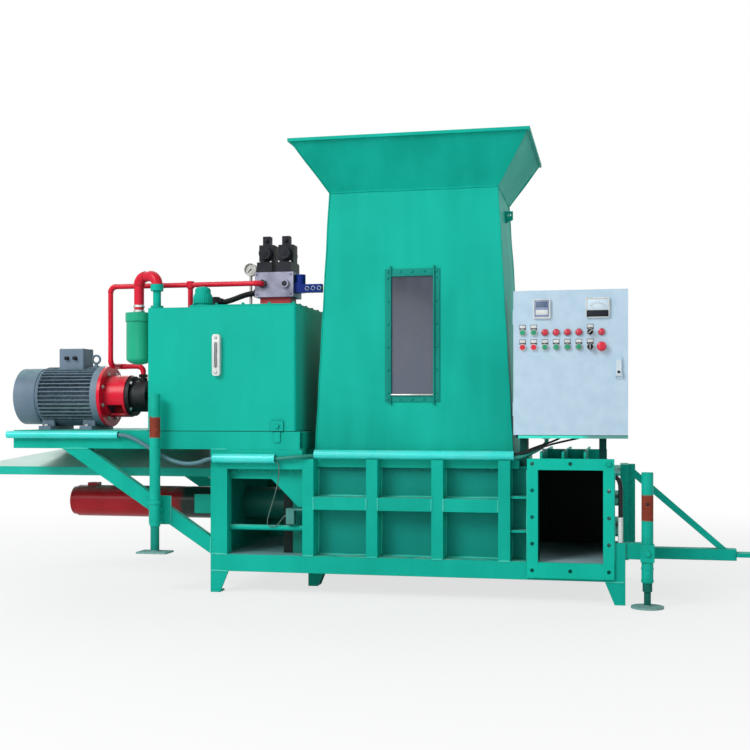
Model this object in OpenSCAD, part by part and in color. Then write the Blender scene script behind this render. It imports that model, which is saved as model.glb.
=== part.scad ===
// Horizontal silage baler: a ram presses the crop along the machine under a hopper,
// and an ejector pushes the finished bale out through the flanged outlet at the front.
// X runs along the press, Y from front to back, Z up. All sizes are in millimetres.

/* [Bale] */
// Thickness of the bale, along the press
bale_w = 270; // [230:5:320]
// Length of the bale, across the machine
bale_len = 700; // [620:10:780]
// Height of the bale
bale_h = 390; // [350:5:430]

/* [Press frame] */
// Height of the legs below the base beams
leg_h = 96; // [70:1:140]
// Height of the base beams
beam_h = 76; // [60:1:100]
// How far posts and ribs stand proud of the chamber walls
rib_d = 90; // [75:1:110]
// Thickness of the chamber plates
plate_t = 10; // [6:1:14]
// Width of the end posts
end_post_w = 78; // [60:1:90]
// Width of the wall posts
post_w = 51; // [40:1:70]
// Distance from the end of the frame to the first wall post
bay_len = 426; // [410:2:480]
// Distance from one wall post to the next
post_pitch = 288; // [260:2:320]
// Number of wall panels under the hopper
panel_count = 3; // [2:1:4]
// Length of the passage between the last post and the ejection chamber
throat_len = 118; // [100:2:160]
// Length of the frame beyond the ejection chamber
end_len = 91; // [85:1:130]
// Height of the rails that carry the hopper
seat_h = 38; // [30:1:60]

/* [Hopper] */
// Height of the hopper body
hopper_h = 1182; // [900:2:1300]
// Amount by which each side leans in over its height
hopper_lean = 66; // [40:1:90]
// Amount by which the back leans in over its height
hopper_back_lean = 184; // [120:2:240]
// Thickness of the hopper sheet
hopper_t = 6; // [4:0.5:10]
// Height of the flared top
flare_h = 204; // [150:2:260]
// How far the flare widens at the sides
flare_side = 138; // [100:2:160]
// How far the flare widens at the front
flare_front = 150; // [100:2:160]
// How far the flare widens at the back
flare_back = 64; // [40:2:100]
// Width of the window frame
window_w = 244; // [200:2:300]
// Height of the window frame
window_h = 587; // [450:2:650]
// Height of the window frame above the hopper's foot
window_rise = 246; // [180:2:300]
// Width of the strips of the window frame
window_strip = 28; // [22:1:36]

/* [Motor deck] */
// How far the fan cowl stands past the end of the deck
cowl_overhang = 74; // [40:2:120]
// Height of the deck beams
deck_h = 80; // [70:1:100]
// Height of the packing between posts and deck
deck_rise = 40; // [30:1:60]
// Length of the oil tank
tank_w = 700; // [600:5:720]
// Depth of the oil tank
tank_d = 660; // [560:5:740]
// Height of the oil tank
tank_h = 560; // [480:5:640]
// How far the oil tank reaches past the press frame
tank_reach = 304; // [250:2:310]
// Shaft height of the motor above its feet
shaft_h = 160; // [150:1:170]
// Outside diameter of the motor over its fins
motor_d = 284; // [260:2:292]
// Length of the finned motor frame
motor_l = 272; // [240:2:300]

/* [Hydraulics] */
// Outside diameter of the main cylinder
main_d = 154; // [140:1:160]
// Diameter of the main piston rod
main_rod_d = 80; // [60:1:90]
// Stroke of the main ram
main_stroke = 960; // [700:5:965]
// Outside diameter of the ejector cylinder
eject_d = 104; // [90:1:116]
// Diameter of the ejector piston rod
eject_rod_d = 50; // [40:1:60]
// Stroke of the ejector
eject_stroke = 800; // [600:5:800]

/* [Jacks and drawbar] */
// Outside diameter of the jack tubes
jack_d = 48; // [42:1:52]
// Length of the right jack tube
right_jack_l = 454; // [420:2:470]
// Length of the left jack tube
left_jack_l = 590; // [520:2:620]
// Diameter of the round foot of the right jack
foot_d = 134; // [110:2:136]
// Length of the drawbar
drawbar_l = 485; // [420:5:600]
// Diameter of the pin hole in the tow eye
tow_pin_d = 28; // [20:1:32]

/* [Control cabinet] */
// Width of the cabinet
cab_w = 476; // [450:2:500]
// Height of the cabinet
cab_h = 611; // [560:2:680]
// Depth of the cabinet behind its door
cab_d = 200; // [150:5:230]
// Height of the cabinet's underside above the hopper rails
cab_rise = 109; // [100:1:160]
// Thickness of the door
door_t = 22; // [18:1:28]
// Diameter of the push buttons
button_d = 22; // [20:0.5:24]
// Travel of a push button
button_travel = 4; // [2:0.5:5]

/* [Hidden] */
$fn = 48;

// Paint and material colours
paint = [0.09, 0.70, 0.61];
crimson = [0.80, 0.08, 0.16];
bare_steel = [0.72, 0.73, 0.74];
black = [0.10, 0.10, 0.11];
cabinet_white = [0.80, 0.86, 0.88];
motor_grey = [0.45, 0.52, 0.60];

// Clearances: overrun of every cut, seat of a round piece, running fit, slide
overrun = 1;
seat = 0.3;
fit = 0.05;
slide = 2;

// Stations along the press
throat_x = bay_len + panel_count * post_pitch + post_w;
outlet_x0 = throat_x + throat_len;
outlet_x1 = outlet_x0 + bale_w;
frame_len = outlet_x1 + end_len;

// Stations across the machine
frame_d = bale_len + 2 * (rib_d + plate_t);
wall_y = rib_d + plate_t;
mid_y = frame_d / 2;

// Heights of the floor, the roof, the hopper rails and the deck
floor_z = leg_h + beam_h;
roof_z = floor_z + bale_h;
seat_z = roof_z + seat_h;
deck_z = seat_z + deck_rise;
deck_top = deck_z + deck_h;
press_z = floor_z + bale_h / 2;

// Base frame: wall of the beams, legs, upright and arm of the right jack
beam_t = 8;
leg_top_w = 84;
leg_foot_w = 44;
leg_d = 62;
mid_leg_d = 70;
mid_leg_y = 300;
mid_leg_back = 44;
upright_w = 46;
upright_d = 60;
arm_l = 110;
arm_y = 10;
arm_h = 68;
arm_rise = 20;
pivot_d = 20;

// Press chamber: middle rib, hopper rails, ribs beside the passage
mid_rib_h = 57;
mid_rib_rise_share = 0.525;
rail_d = 30;
seat_w = 30;
rib_t = 10;
throat_rib_y = 12;
throat_rib_shares = [0.31, 0.68];

// Ram bay: end posts, thrust plate, top rails, corner gusset
end_post_d = 60;
thrust_t = 25;
bay_rail_h = 87;
bay_rail_d = 50;
gusset_w = 156;
gusset_drop = 170;
gusset_strip = 46;

// Ejection chamber: right wall, stiffeners, hitch plate, mount of the ejector
side_t = 12;
roof_rib_h = 66;
roof_rib_y = 24;
roof_rib_shares = [0.02, 0.36, 0.70];
side_rib_y = 22;
side_rib_shares = [0.29, 0.62, 0.94];
hitch_t = 20;
hitch_w = 200;
mount_t = 25;

// Outlet flange: thickness, strips, holes
flange_t = 12;
flange_side = 46;
flange_top = 48;
flange_foot = 66;
flange_hole_d = 14;
flange_hole_inset = 22;
flange_foot_inset = 32;

// Hopper: lap on its rails, foot flange, lifting lugs, window seat
hopper_lap = 16;
foot_w = 20;
foot_t = 6;
lug_w = 34;
lug_h = 56;
lug_t = 10;
lug_lap = 3;
lug_hole_d = 16;
lug_rise_share = 0.9;
frame_t = 5;
pane_edge = 4;
rim_w = 12;
rim_h = 10;
rim_lap = 4;

// Motor deck: beams, plate, braces, jack bracket
deck_beam_w = 50;
deck_plate_t = 4;
deck_back = 11;
brace_w = 40;
brace_foot = 76;
brace_head = 130;
brace_head_reach = 593;
bracket_w = 100;
bracket_h = 130;
bracket_t = 10;

// Side tray: reach, rails, sheet
tray_reach = 1290;
tray_cut = 310;
tray_rail = 40;
tray_rail_t = 5;
tray_y = 190;
tray_d = 380;
tray_drop = 134;
tray_t = 3;
tray_slope = 12;

// Conduits: diameters, wall, ends
conduit_wall = 3;
deck_conduit_d = 34;
deck_conduit_past = 22;
deck_conduit_end = -436;
bay_conduit_d = 41;
bay_conduit_ends = [19, 308];
bay_conduit_drop = 39;
chamber_conduit_d = 40;
chamber_conduit_lap = 15;

// Cords: routes through the conduits and to the limit switch
cable_d = 18;
cable_sides = 10;
power_route = [
    [-560, -18, 703], [-500, -18, 703], [-440, -18, 703], [-400, -18, 700], [-355, -18, 684],
    [-310, -18, 660], [-265, -18, 633], [-220, -18, 608], [-175, -19, 589], [-130, -19, 578],
    [-85, -20, 576], [-45, -20, 583], [-10, -21, 595], [30, -21, 601], [90, -21, 601],
    [150, -21, 601], [210, -21, 601], [270, -21, 601], [310, -21, 601], [340, -22, 603],
    [370, -22, 606], [400, -20, 609], [425, -15, 611], [440, -6, 612], [452, 5, 612.5],
    [464, 14, 612.5], [477, 19, 612.5], [490, 20, 612.5],
    [510, 20, 612.5], [570, 20, 612.5], [630, 20, 612.5], [690, 20, 612.5], [750, 20, 612.5],
    [810, 20, 612.5], [870, 20, 612.5], [930, 20, 612.5], [990, 20, 612.5], [1050, 20, 612.5],
    [1110, 20, 612.5], [1170, 20, 612.5], [1230, 20, 612.5], [1290, 20, 612.5], [1345, 20, 612.5],
    [1375, 20.5, 614], [1405, 25, 622], [1435, 36, 636], [1460, 50, 650], [1480, 62, 664],
    [1490, 70, 676], [1490, 70, 691]
];
lead_d = 9;
lead_sides = 8;
front_lead_route = [
    [1250, 14.5, 628], [1300, 14.5, 628], [1345, 14.5, 628], [1375, 14, 629], [1405, 14, 634],
    [1440, 16, 645], [1480, 19, 659], [1520, 23, 671], [1560, 28, 681], [1600, 34, 690],
    [1628, 40, 697], [1640, 43, 703], [1640, 43, 709]
];
rear_lead_route = [
    [1250, 25.5, 628], [1300, 25.5, 628], [1345, 25.5, 628], [1375, 25.5, 631], [1400, 26, 637],
    [1430, 27, 650], [1465, 34, 663], [1500, 43, 675], [1530, 52, 687], [1550, 58, 698],
    [1555, 60, 704], [1555, 60, 709]
];
drain_hose_d = 19;
drain_hose_sides = 12;
drain_hose_route = [
    [1800, 10, 260], [1800, 10, 290], [1800, 10, 330], [1800, 10, 370], [1800, 10, 410],
    [1800, 10, 450], [1800, 10, 480], [1798, 10, 505], [1791, 10, 524], [1778, 10, 535],
    [1762, 10, 539], [1750, 10, 540], [1741, 10, 540]
];
wire_d = 5;
wire_sides = 8;
wire_route = [
    [290, -21, 587], [310, -21, 587], [321, -21, 579], [325, -20, 560], [322, -15, 520],
    [310, -6, 470], [292, 2, 415], [272, 10, 360], [262, 15, 325], [264, 20, 303],
    [280, 25, 296], [300, 29, 302], [318, 31, 322], [328, 32, 336], [338, 32, 344], [347.5, 32, 344]
];

// Guide tube between the posts of the ram bay
guide_d = 24;
guide_y = 46;
guide_rise = 118;

// Limit switch: bracket and body
switch_w = 36;
switch_h = 62;
switch_d = 40;
switch_reach = 78;
switch_bracket_t = 8;
switch_rise_share = 0.51;
lever_d = 12;

// Drawbar: bar, upright, diagonal, tongue
bar_h = 50;
bar_w = 60;
stay_w = 40;
stay_t = 30;
plate_l = 16;
tongue_l = 115;
tongue_t = 18;
tongue_w = 76;

// Cylinders: walls, caps, glands, pistons, flanges
barrel_wall = 14;
cap_l = 24;
gland_l = 60;
piston_l = 70;
main_flange = 220;
main_flange_t = 40;
main_port_w = 50;
side_port_back = 205;
side_port_l = 100;
side_port_h = 90;
side_port_out = 34;
eject_wall = 10;
eject_flange = 150;
eject_flange_t = 30;

// Press head and push plate: plates, ribs, wear strips, boss
face_t = 20;
head_l = 150;
web_t = 12;
strip_t = 6;
boss_d = 130;
push_l = 60;
push_boss_d = 90;

// Oil tank: wall, corner radius, standpipe, clip
tank_wall = 5;
tank_r = 14;
standpipe_d = 36;
standpipe_h = 110;
standpipe_inset = 34;
union_d = 58;
union_h = 30;
clip_w = 56;
clip_h = 96;
clip_t = 6;
clip_strap_w = 28;
clip_bolt_d = 18;
clip_inset = 56;

// Tank lid: plate, bolts, filler neck
lid_w = 500;
lid_edge = 15;
lid_t = 14;
lid_y = 50;
lid_bolt_d = 14;
lid_bolt_h = 8;
lid_lip = 30;
neck_d = 54;
neck_h = 16;
cap_d = 72;
cap_h = 90;
dome_share = 0.5;
cap_wall = 4;
cap_inset = 42;
cap_y = 60;

// Level gauge: body and sight glass slot
gauge_w = 36;
gauge_h = 186;
gauge_t = 22;
gauge_slot_w = 14;
gauge_slot_inset = 36;
gauge_x = 318;
gauge_top = 125;

// Return filter, hose and pipes
filter_d = 124;
filter_h = 240;
filter_head_h = 40;
filter_drop = 16;
filter_gap = 8;
filter_y = 72;
hose_d = 46;
hose_bend = 40;
elbow_lap = 2;
elbow_share = 1.1;
pipe_d = 24;
pipe_bend = 28;
pipe_y = 150;
pipe_rise = 118;
tee_d = 32;
tee_inset = 34;
pad_d = 54;
pad_t = 12;

// Valve block, valves and gauge
block_w = 185;
block_d = 140;
block_h = 115;
block_foot_h = 44;
block_foot_inset = 20;
block_inset = 65;
port_d = 40;
port_l = 12;
valve_w = 72;
valve_d = 70;
valve_base_h = 46;
valve_body_h = 84;
valve_coil_d = 56;
valve_plug_h = 40;
dial_d = 60;
dial_t = 26;
dial_wall = 4;
dial_rise = 64;
dial_stem_d = 14;
needle_l = 20;
needle_w = 3;
needle_t = 1.5;
blue_w = 46;
blue_elbow_h = 84;
blue_bar_h = 38;
blue_bar_d = 30;
blue_bolt_d = 14;
blue_bolt_h = 6;
blue_gap = 34;

// Motor, bell housing and pump
motor_y = 260;
fin_count = 44;
fin_t = 4;
fin_h = 20;
foot_w_share = 0.84;
foot_web_share = 0.7;
motor_foot_l = 62;
motor_foot_t = 18;
shield_l = 34;
cowl_l = 92;
cowl_wall = 3;
cowl_slot_shares = [0.12, 0.4];
cowl_slot_w = 8;
cowl_slot_count = 18;
shaft_d = 42;
fan_t = 5;
fan_l = 40;
fan_blades = 7;
fan_share = 0.4;
coupling_d = 96;
coupling_l = 80;
bell_l = 118;
bell_flange_t = 16;
bell_wall = 12;
bell_d = 200;
bell_window_w = 66;
pump_d = 150;
pump_l = 96;
pump_flange_t = 20;
pump_spigot_d = 92;
term_w = 130;
term_d = 110;
term_h = 86;

// Jacks: clearances, legs, feet, pivots
jack_wall = 4;
jack_lap_share = 0.75;
sole_t = 8;
right_jack_y = 42;
left_jack_x = 241;
left_jack_y = 60;
left_jack_rise = 112;
left_foot_rise = 176;
left_foot_w = 140;
left_foot_d = 98;
boss_w = 44;
nut_d = 34;
nut_t = 14;
collar_d = 58;
collar_h = 16;
collar_drop = 100;
right_tube_z = 104;
sleeve_w = 56;
sleeve_h = 72;
right_neck_d = 28;
right_neck_l = 60;
left_pivot_z = 365;

// Cabinet: sheet, gland, stand
cab_t = 3;
door_skin = 3;
door_gap = 0.5;
gland_d = 34;
gland_h = 18;
gland_reach = 135;
stand_w = 30;
stand_rail_h = 14;
stand_y = 104;
lip_d = 24;
hinge_d = 10;
hinge_h = 60;
hinge_inset = 80;

// Cabinet door: grid of controls, measured from its lower left corner
column_pitch = 47;
column_first = 39;
row_low = 371;
row_high = 433;
ring_d = 30;
ring_h = 7;
ring_clear = 0.2;
button_out = 12;
button_in = 10;
lamp_d = 28;
lamp_h = 15;
stop_d = 40;
stop_h = 16;
knob_d = 24;
knob_h = 9;
knob_bar_w = 8;
knob_bar_h = 14;
tag_w = 24;
tag_h = 13;
tag_t = 1.5;
tag_rise = 25;
counter_w = 72;
counter_h = 82;
counter_x = 84;
counter_z = 492;
ammeter_w = 98;
ammeter_h = 84;
ammeter_x = 302;
ammeter_z = 492;
meter_t = 12;
meter_edge = 5;
meter_sink = 3;

// Door lock: plate, paddle, pin
lock_w = 32;
lock_h = 96;
lock_t = 5;
lock_x = 438;
lock_z = 236;
paddle_w = 22;
paddle_t = 7.4;
lock_pin_d = 4;
lock_ear_w = 4;
lock_pin_rise = 14;

// Places worked out from the sizes above
beam_x = [0, bay_len, bay_len + post_pitch, throat_x - post_w, outlet_x0 - post_w];
hopper_x0 = bay_len + post_w - hopper_lap;
hopper_x1 = throat_x + rail_d - hopper_lap - rib_t;
hopper_y0 = wall_y - hopper_t;
hopper_y1 = frame_d - hopper_y0;
hopper_z0 = seat_z + foot_t;
hopper_z1 = hopper_z0 + hopper_h;
window_x = (hopper_x0 + hopper_x1) / 2;
window_z = hopper_z0 + window_rise;
tank_x0 = -tank_reach;
tank_x1 = tank_x0 + tank_w;
tank_z1 = deck_top + tank_h;
lid_x1 = tank_x1 - lid_edge;
lid_x0 = lid_x1 - lid_w;
lid_z = tank_z1 + lid_t;
cap_x = lid_x0 + cap_inset;
block_x1 = tank_x1 - block_inset;
block_x0 = block_x1 - block_w;
block_y0 = pipe_y + pipe_bend + port_l;
block_z0 = lid_z + block_foot_h;
block_z1 = block_z0 + block_h;
standpipe_x = tank_x0 + standpipe_inset;
standpipe_z = tank_z1 + standpipe_h;
filter_x = tank_x0 - filter_gap - filter_d / 2;
filter_z1 = tank_z1 - filter_drop;
axis_z = deck_top + deck_plate_t + shaft_h;
shield_r = motor_d / 2 + fin_t;
pump_x1 = tank_x0 - pump_spigot_d;
pump_x0 = pump_x1 - pump_l;
bell_x0 = pump_x0 - bell_l;
frame_x1 = bell_x0 - shield_l;
frame_x0 = frame_x1 - motor_l;
cowl_x0 = frame_x0 - shield_l - cowl_l;
deck_reach = -cowl_x0 - cowl_overhang;
head_x1 = hopper_x0;
head_x0 = head_x1 - head_l;
barrel_x1 = head_x0 - slide - piston_l;
barrel_x0 = barrel_x1 - gland_l - main_stroke - piston_l;
eject_y0 = frame_d + mount_t;
push_y0 = frame_d - wall_y;
push_y1 = push_y0 + push_l;
eject_y1 = eject_y0 + gland_l + eject_stroke + piston_l + cap_l;
pivot_x = frame_len + arm_l - boss_w / 2;
pivot_z = floor_z + arm_rise + arm_h / 2;
bar_z0 = floor_z - bar_h / 2;
drawbar_x1 = frame_len + drawbar_l + tongue_l;
cab_x0 = throat_x + rail_d - hopper_lap;
cab_x1 = cab_x0 + cab_w;
cab_z0 = seat_z + cab_rise;
cab_z1 = cab_z0 + cab_h;
gland_x = cab_x0 + gland_reach;
tow_x = drawbar_x1 - tongue_w / 2;

// The origin lies under the middle of the machine, on the ground
centre_x = (drawbar_x1 - tray_reach) / 2;
centre_y = (eject_y1 - left_jack_y - left_foot_d / 2) / 2;

// Helpers: solids between given ranges

module placed() translate([-centre_x, -centre_y, 0]) children();

module box(x, y, z) {
    translate([x[0], y[0], z[0]])
        cube([x[1] - x[0], y[1] - y[0], z[1] - z[0]]);
}

module rod_x(x, y, z, d) translate([x[0], y, z]) rotate([0, 90, 0]) cylinder(h = x[1] - x[0], d = d);

module rod_y(x, y, z, d) translate([x, y[1], z]) rotate([90, 0, 0]) cylinder(h = y[1] - y[0], d = d);

module rod_z(x, y, z, d) translate([x, y, z[0]]) cylinder(h = z[1] - z[0], d = d);

// An outline in X and Z, given depth along Y
module slab_y(y) translate([0, y[1], 0]) rotate([90, 0, 0]) linear_extrude(y[1] - y[0]) children();

// An outline in Y and Z, given length along X
module slab_x(x) translate([x[0], 0, 0]) rotate([90, 0, 90]) linear_extrude(x[1] - x[0]) children();

// An outline in X and Y, given height along Z
module slab_z(z) translate([0, 0, z[0]]) linear_extrude(z[1] - z[0]) children();

// A part and its mirror image on the far side of the frame
module both_sides() {
    children();
    translate([0, frame_d, 0]) mirror([0, 1, 0]) children();
}

// A tower with four leaning sides between two rectangles [x0, x1, y0, y1]
module tower(low, high, z0, z1) {
    x_span = [min(low[0], high[0]), max(low[1], high[1])];
    y_span = [min(low[2], high[2]), max(low[3], high[3])];
    intersection() {
        slab_y(y_span) polygon([[low[0], z0], [low[1], z0], [high[1], z1], [high[0], z1]]);
        slab_x(x_span) polygon([[low[2], z0], [low[3], z0], [high[3], z1], [high[2], z1]]);
    }
}

function grow(r, by) = [r[0] - by, r[1] + by, r[2] - by, r[3] + by];
function blend(a, b, share) = a + (b - a) * share;

// The shell between a tower and the same tower set in by the sheet's thickness
module tower_shell(low, high, z0, z1, sheet) {
    over = overrun / (z1 - z0);
    difference() {
        tower(low, high, z0, z1);
        tower(grow(blend(low, high, -over), -sheet), grow(blend(low, high, 1 + over), -sheet),
            z0 - overrun, z1 + overrun);
    }
}

module rounded(w, h, r) {
    translate([r, 0]) square([w - 2 * r, h]);
    translate([0, r]) square([w, h - 2 * r]);
    for (x = [r, w - r], y = [r, h - r]) translate([x, y]) circle(r);
}

function unit(v) = v / norm(v);
function turn_at(p, i) = i == 0 || i == len(p) - 1 ? 0 : acos(unit(p[i] - p[i - 1]) * unit(p[i + 1] - p[i]));
function cut_at(p, i, bend) = bend * tan(turn_at(p, i) / 2);

// Places children, drawn along Z, on a line from a in direction d
module along(a, d) {
    s = abs(d.z) < 0.9 ? unit(cross([0, 0, 1], d)) : unit(cross([1, 0, 0], d));
    t = cross(d, s);
    multmatrix([[s.x, t.x, d.x, a.x], [s.y, t.y, d.y, a.y], [s.z, t.z, d.z, a.z], [0, 0, 0, 1]])
        children();
}

// A pipe along straight runs that end inside slightly thicker elbows
module bent_pipe(p, bend, d) {
    for (i = [0 : len(p) - 2]) {
        way = unit(p[i + 1] - p[i]);
        start = i == 0 ? 0 : cut_at(p, i, bend) - elbow_lap;
        end = i == len(p) - 2 ? 0 : cut_at(p, i + 1, bend) - elbow_lap;
        along(p[i] + way * start, way) cylinder(h = norm(p[i + 1] - p[i]) - start - end, d = d);
    }
    for (i = [1 : len(p) - 2]) {
        v = unit(p[i] - p[i - 1]);
        w = unit(cross(v, p[i + 1] - p[i]));
        u = cross(v, w);
        c = p[i] - v * cut_at(p, i, bend) - u * bend;
        multmatrix([[u.x, v.x, w.x, c.x], [u.y, v.y, w.y, c.y], [u.z, v.z, w.z, c.z], [0, 0, 0, 1]])
            rotate_extrude(angle = turn_at(p, i)) translate([bend, 0]) circle(d = d * elbow_share);
    }
}

// A cord swept along the points of its route
function cord_way(p, i) = unit(p[min(i + 1, len(p) - 1)] - p[max(i - 1, 0)]);
function cord_ring(p, i, r, n) =
    let (d = cord_way(p, i), s = unit(cross(d, [0, 1, 0])), t = cross(s, d))
    [for (k = [0 : n - 1]) p[i] + r * (cos(360 * k / n) * s + sin(360 * k / n) * t)];

module cord(p, d, n) {
    last = (len(p) - 1) * n;
    polyhedron(
        points = [for (i = [0 : len(p) - 1]) each cord_ring(p, i, d / 2, n)],
        faces = concat(
            [[for (k = [0 : n - 1]) k]],
            [for (i = [0 : len(p) - 2], k = [0 : n - 1])
                [i * n + k, (i + 1) * n + k, (i + 1) * n + (k + 1) % n, i * n + (k + 1) % n]],
            [[for (k = [n - 1 : -1 : 0]) last + k]]
        )
    );
}

// A channel along X with its web at the front
module channel(x, y, z, t) {
    difference() {
        box(x, y, z);
        box([x[0] - overrun, x[1] + overrun], [y[0] + t, y[1] + overrun], [z[0] + t, z[1] - t]);
    }
}

// A tube along X
module tube_x(x, y, z, d, wall) {
    difference() {
        rod_x(x, y, z, d);
        rod_x([x[0] - overrun, x[1] + overrun], y, z, d - 2 * wall);
    }
}

// Press frame

module leg_outline() {
    polygon([[0, 0], [leg_foot_w, 0], [leg_top_w, leg_h], [0, leg_h]]);
}

// A leg folded from plate: tapered face, side cheek and sole
module leg() {
    slab_y([0, beam_t]) leg_outline();
    box([0, beam_t], [0, leg_d], [0, leg_h]);
    box([0, leg_foot_w], [0, leg_d], [0, beam_t]);
}

module base_frame() color(paint) difference() {
    union() {
        both_sides() {
            channel([0, frame_len], [0, rib_d], [leg_h, floor_z], beam_t);
            leg();
            translate([frame_len, 0, 0]) mirror([1, 0, 0]) leg();
        }
        for (x = beam_x)
            box([x, x + post_w], [rib_d, frame_d - rib_d], [leg_h, floor_z - plate_t]);
        box([outlet_x1 + side_t, frame_len], [rib_d, frame_d - rib_d], [leg_h, floor_z]);
        translate([bay_len - mid_leg_back, mid_leg_y - mid_leg_d / 2, 0]) {
            slab_y([0, beam_t]) leg_outline();
            slab_y([mid_leg_d - beam_t, mid_leg_d]) leg_outline();
            box([0, leg_foot_w], [0, mid_leg_d], [0, beam_t]);
        }
        box([frame_len - upright_w, frame_len], [0, upright_d], [floor_z, floor_z + arm_rise + arm_h]);
        box([frame_len, frame_len + arm_l], [arm_y, upright_d],
            [floor_z + arm_rise, floor_z + arm_rise + arm_h]);
    }
    rod_y(pivot_x, [arm_y - overrun, upright_d + overrun], pivot_z, pivot_d + 2 * fit);
}

module press_chamber() color(paint) {
    box([0, outlet_x1 + side_t], [rib_d, frame_d - rib_d], [floor_z - plate_t, floor_z]);
    both_sides() {
        box([bay_len, outlet_x0 - plate_t], [rib_d, wall_y], [floor_z, roof_z]);
        box([bay_len, hopper_x1 + seat_w], [rib_d - rail_d, wall_y], [roof_z, seat_z]);
    }
    box([hopper_x0 + hopper_t - seat_w, hopper_x0 + hopper_t], [wall_y, frame_d - wall_y], [roof_z, seat_z]);
    box([hopper_x1 - hopper_t, hopper_x1 + seat_w], [wall_y, frame_d - wall_y], [roof_z, seat_z]);
}

// Posts and ribs on the outside of the chamber's walls, cut to length with a weld gap at their ends.
// Each post is two straight lengths: one under the hopper's rail and a short one in front of it.
module chamber_ribs() color(paint) both_sides() {
    for (i = [0 : panel_count]) translate([bay_len + i * post_pitch, 0, 0]) {
        box([0, post_w], [0, rib_d], [floor_z, roof_z]);
        box([0, post_w], [0, rib_d - rail_d], [roof_z + seat, seat_z]);
    }
    for (i = [0 : panel_count - 1])
        translate([bay_len + i * post_pitch, 0, floor_z + bale_h * mid_rib_rise_share])
            box([post_w + seat, post_pitch - seat], [0, rib_d], [0, mid_rib_h]);
    for (share = throat_rib_shares)
        translate([0, 0, floor_z + bale_h * share])
            box([throat_x + seat, outlet_x0 - plate_t], [throat_rib_y, rib_d], [0, rib_t]);
}

module bay_frame() color(paint) difference() {
    union() {
        both_sides() {
            box([0, end_post_w], [0, end_post_d], [floor_z, deck_z]);
            box([end_post_w, bay_len], [0, bay_rail_d], [deck_z - bay_rail_h, deck_z]);
            slab_y([bay_rail_d, bay_rail_d + plate_t]) polygon([
                [end_post_w, deck_z - bay_rail_h - gusset_strip],
                [bay_len - gusset_w, deck_z - bay_rail_h - gusset_strip],
                [bay_len - gusset_w + gusset_drop - gusset_strip, deck_z - bay_rail_h - gusset_drop],
                [bay_len, deck_z - bay_rail_h - gusset_drop],
                [bay_len, deck_z],
                [end_post_w, deck_z]
            ]);
        }
        rod_x([end_post_w, bay_len], guide_y, floor_z + guide_rise, guide_d);
        box([0, thrust_t], [end_post_d, frame_d - end_post_d], [floor_z, seat_z]);
        box([thrust_t, bay_len], [frame_d - wall_y, frame_d - rib_d], [floor_z, deck_z - bay_rail_h]);
    }
    rod_x([-overrun, thrust_t + overrun], mid_y, press_z, main_d + 2 * seat);
}

module ejection_box() color(paint) difference() {
    union() {
        both_sides()
            box([outlet_x0 - plate_t, outlet_x0], [0, wall_y], [floor_z, roof_z]);
        box([outlet_x1, outlet_x1 + side_t], [0, frame_d], [floor_z, roof_z]);
        box([outlet_x0 - plate_t, outlet_x1 + side_t], [0, frame_d], [roof_z, roof_z + plate_t]);
        box([hopper_x1 + seat_w, outlet_x0 - plate_t], [rib_d, frame_d - rib_d],
            [roof_z, roof_z + plate_t]);
        for (share = roof_rib_shares)
            translate([outlet_x0 + bale_w * share, 0, roof_z + plate_t])
                box([0, rib_t], [roof_rib_y, frame_d - roof_rib_y], [0, roof_rib_h]);
        box([outlet_x0 - plate_t, outlet_x1 + side_t], [mid_y, mid_y + rib_t],
            [roof_z + plate_t, roof_z + plate_t + roof_rib_h]);
        for (share = side_rib_shares)
            translate([outlet_x1 + side_t, 0, floor_z + bale_h * share])
                box([0, end_len - side_t - hitch_t], [side_rib_y, frame_d - side_rib_y], [0, rib_t]);
        box([frame_len - hitch_t, frame_len], [mid_y - hitch_w / 2, mid_y + hitch_w / 2],
            [floor_z, roof_z + plate_t]);
        box([outlet_x0 - plate_t, outlet_x1 + side_t], [frame_d, frame_d + mount_t],
            [floor_z, roof_z + plate_t]);
    }
    rod_y((outlet_x0 + outlet_x1) / 2, [frame_d - overrun, eject_y0 + overrun], press_z,
        eject_rod_d + 2 * slide);
}

// Places children at the twelve bolts of the outlet flange
module flange_bolts() {
    x0 = outlet_x0 - flange_side + flange_hole_inset;
    x1 = outlet_x1 + flange_side - flange_hole_inset;
    z0 = floor_z - flange_foot + flange_foot_inset;
    z1 = roof_z + flange_top - flange_hole_inset;
    for (x = [x0, x1], share = [0 : 0.25 : 1]) translate([x, 0, blend(z0, z1, share)]) children();
    for (z = [z0, z1]) translate([(x0 + x1) / 2, 0, z]) children();
}

module outlet_flange() color(paint) difference() {
    box([outlet_x0 - flange_side, outlet_x1 + flange_side], [-flange_t, 0],
        [floor_z - flange_foot, roof_z + flange_top]);
    box([outlet_x0, outlet_x1], [-flange_t - overrun, overrun], [floor_z, roof_z]);
    flange_bolts() rod_y(0, [-flange_t - overrun, overrun], 0, flange_hole_d);
}

// Hopper

hopper_low = [hopper_x0, hopper_x1, hopper_y0, hopper_y1];
hopper_high = [hopper_x0 + hopper_lean, hopper_x1 - hopper_lean, hopper_y0, hopper_y1 - hopper_back_lean];
flare_high = hopper_high + [-flare_side, flare_side, -flare_front, flare_back];

module lifting_lug() {
    share = lug_rise_share;
    edge = blend(hopper_low, hopper_high, share)[1];
    lean = hopper_lean * lug_h / hopper_h;
    z = hopper_z0 + hopper_h * share;
    translate([0, (hopper_high[2] + hopper_high[3] + lug_w) / 2, 0]) difference() {
        slab_y([0, lug_t]) polygon([[edge - lug_lap, z], [edge + lug_w, z + lug_w / 2],
            [edge + lug_w, z + lug_h], [edge - lean - lug_lap, z + lug_h]]);
        rod_y(edge + lug_w / 2, [-overrun, lug_t + overrun], z + lug_h - lug_w / 2, lug_hole_d);
    }
}

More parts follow.
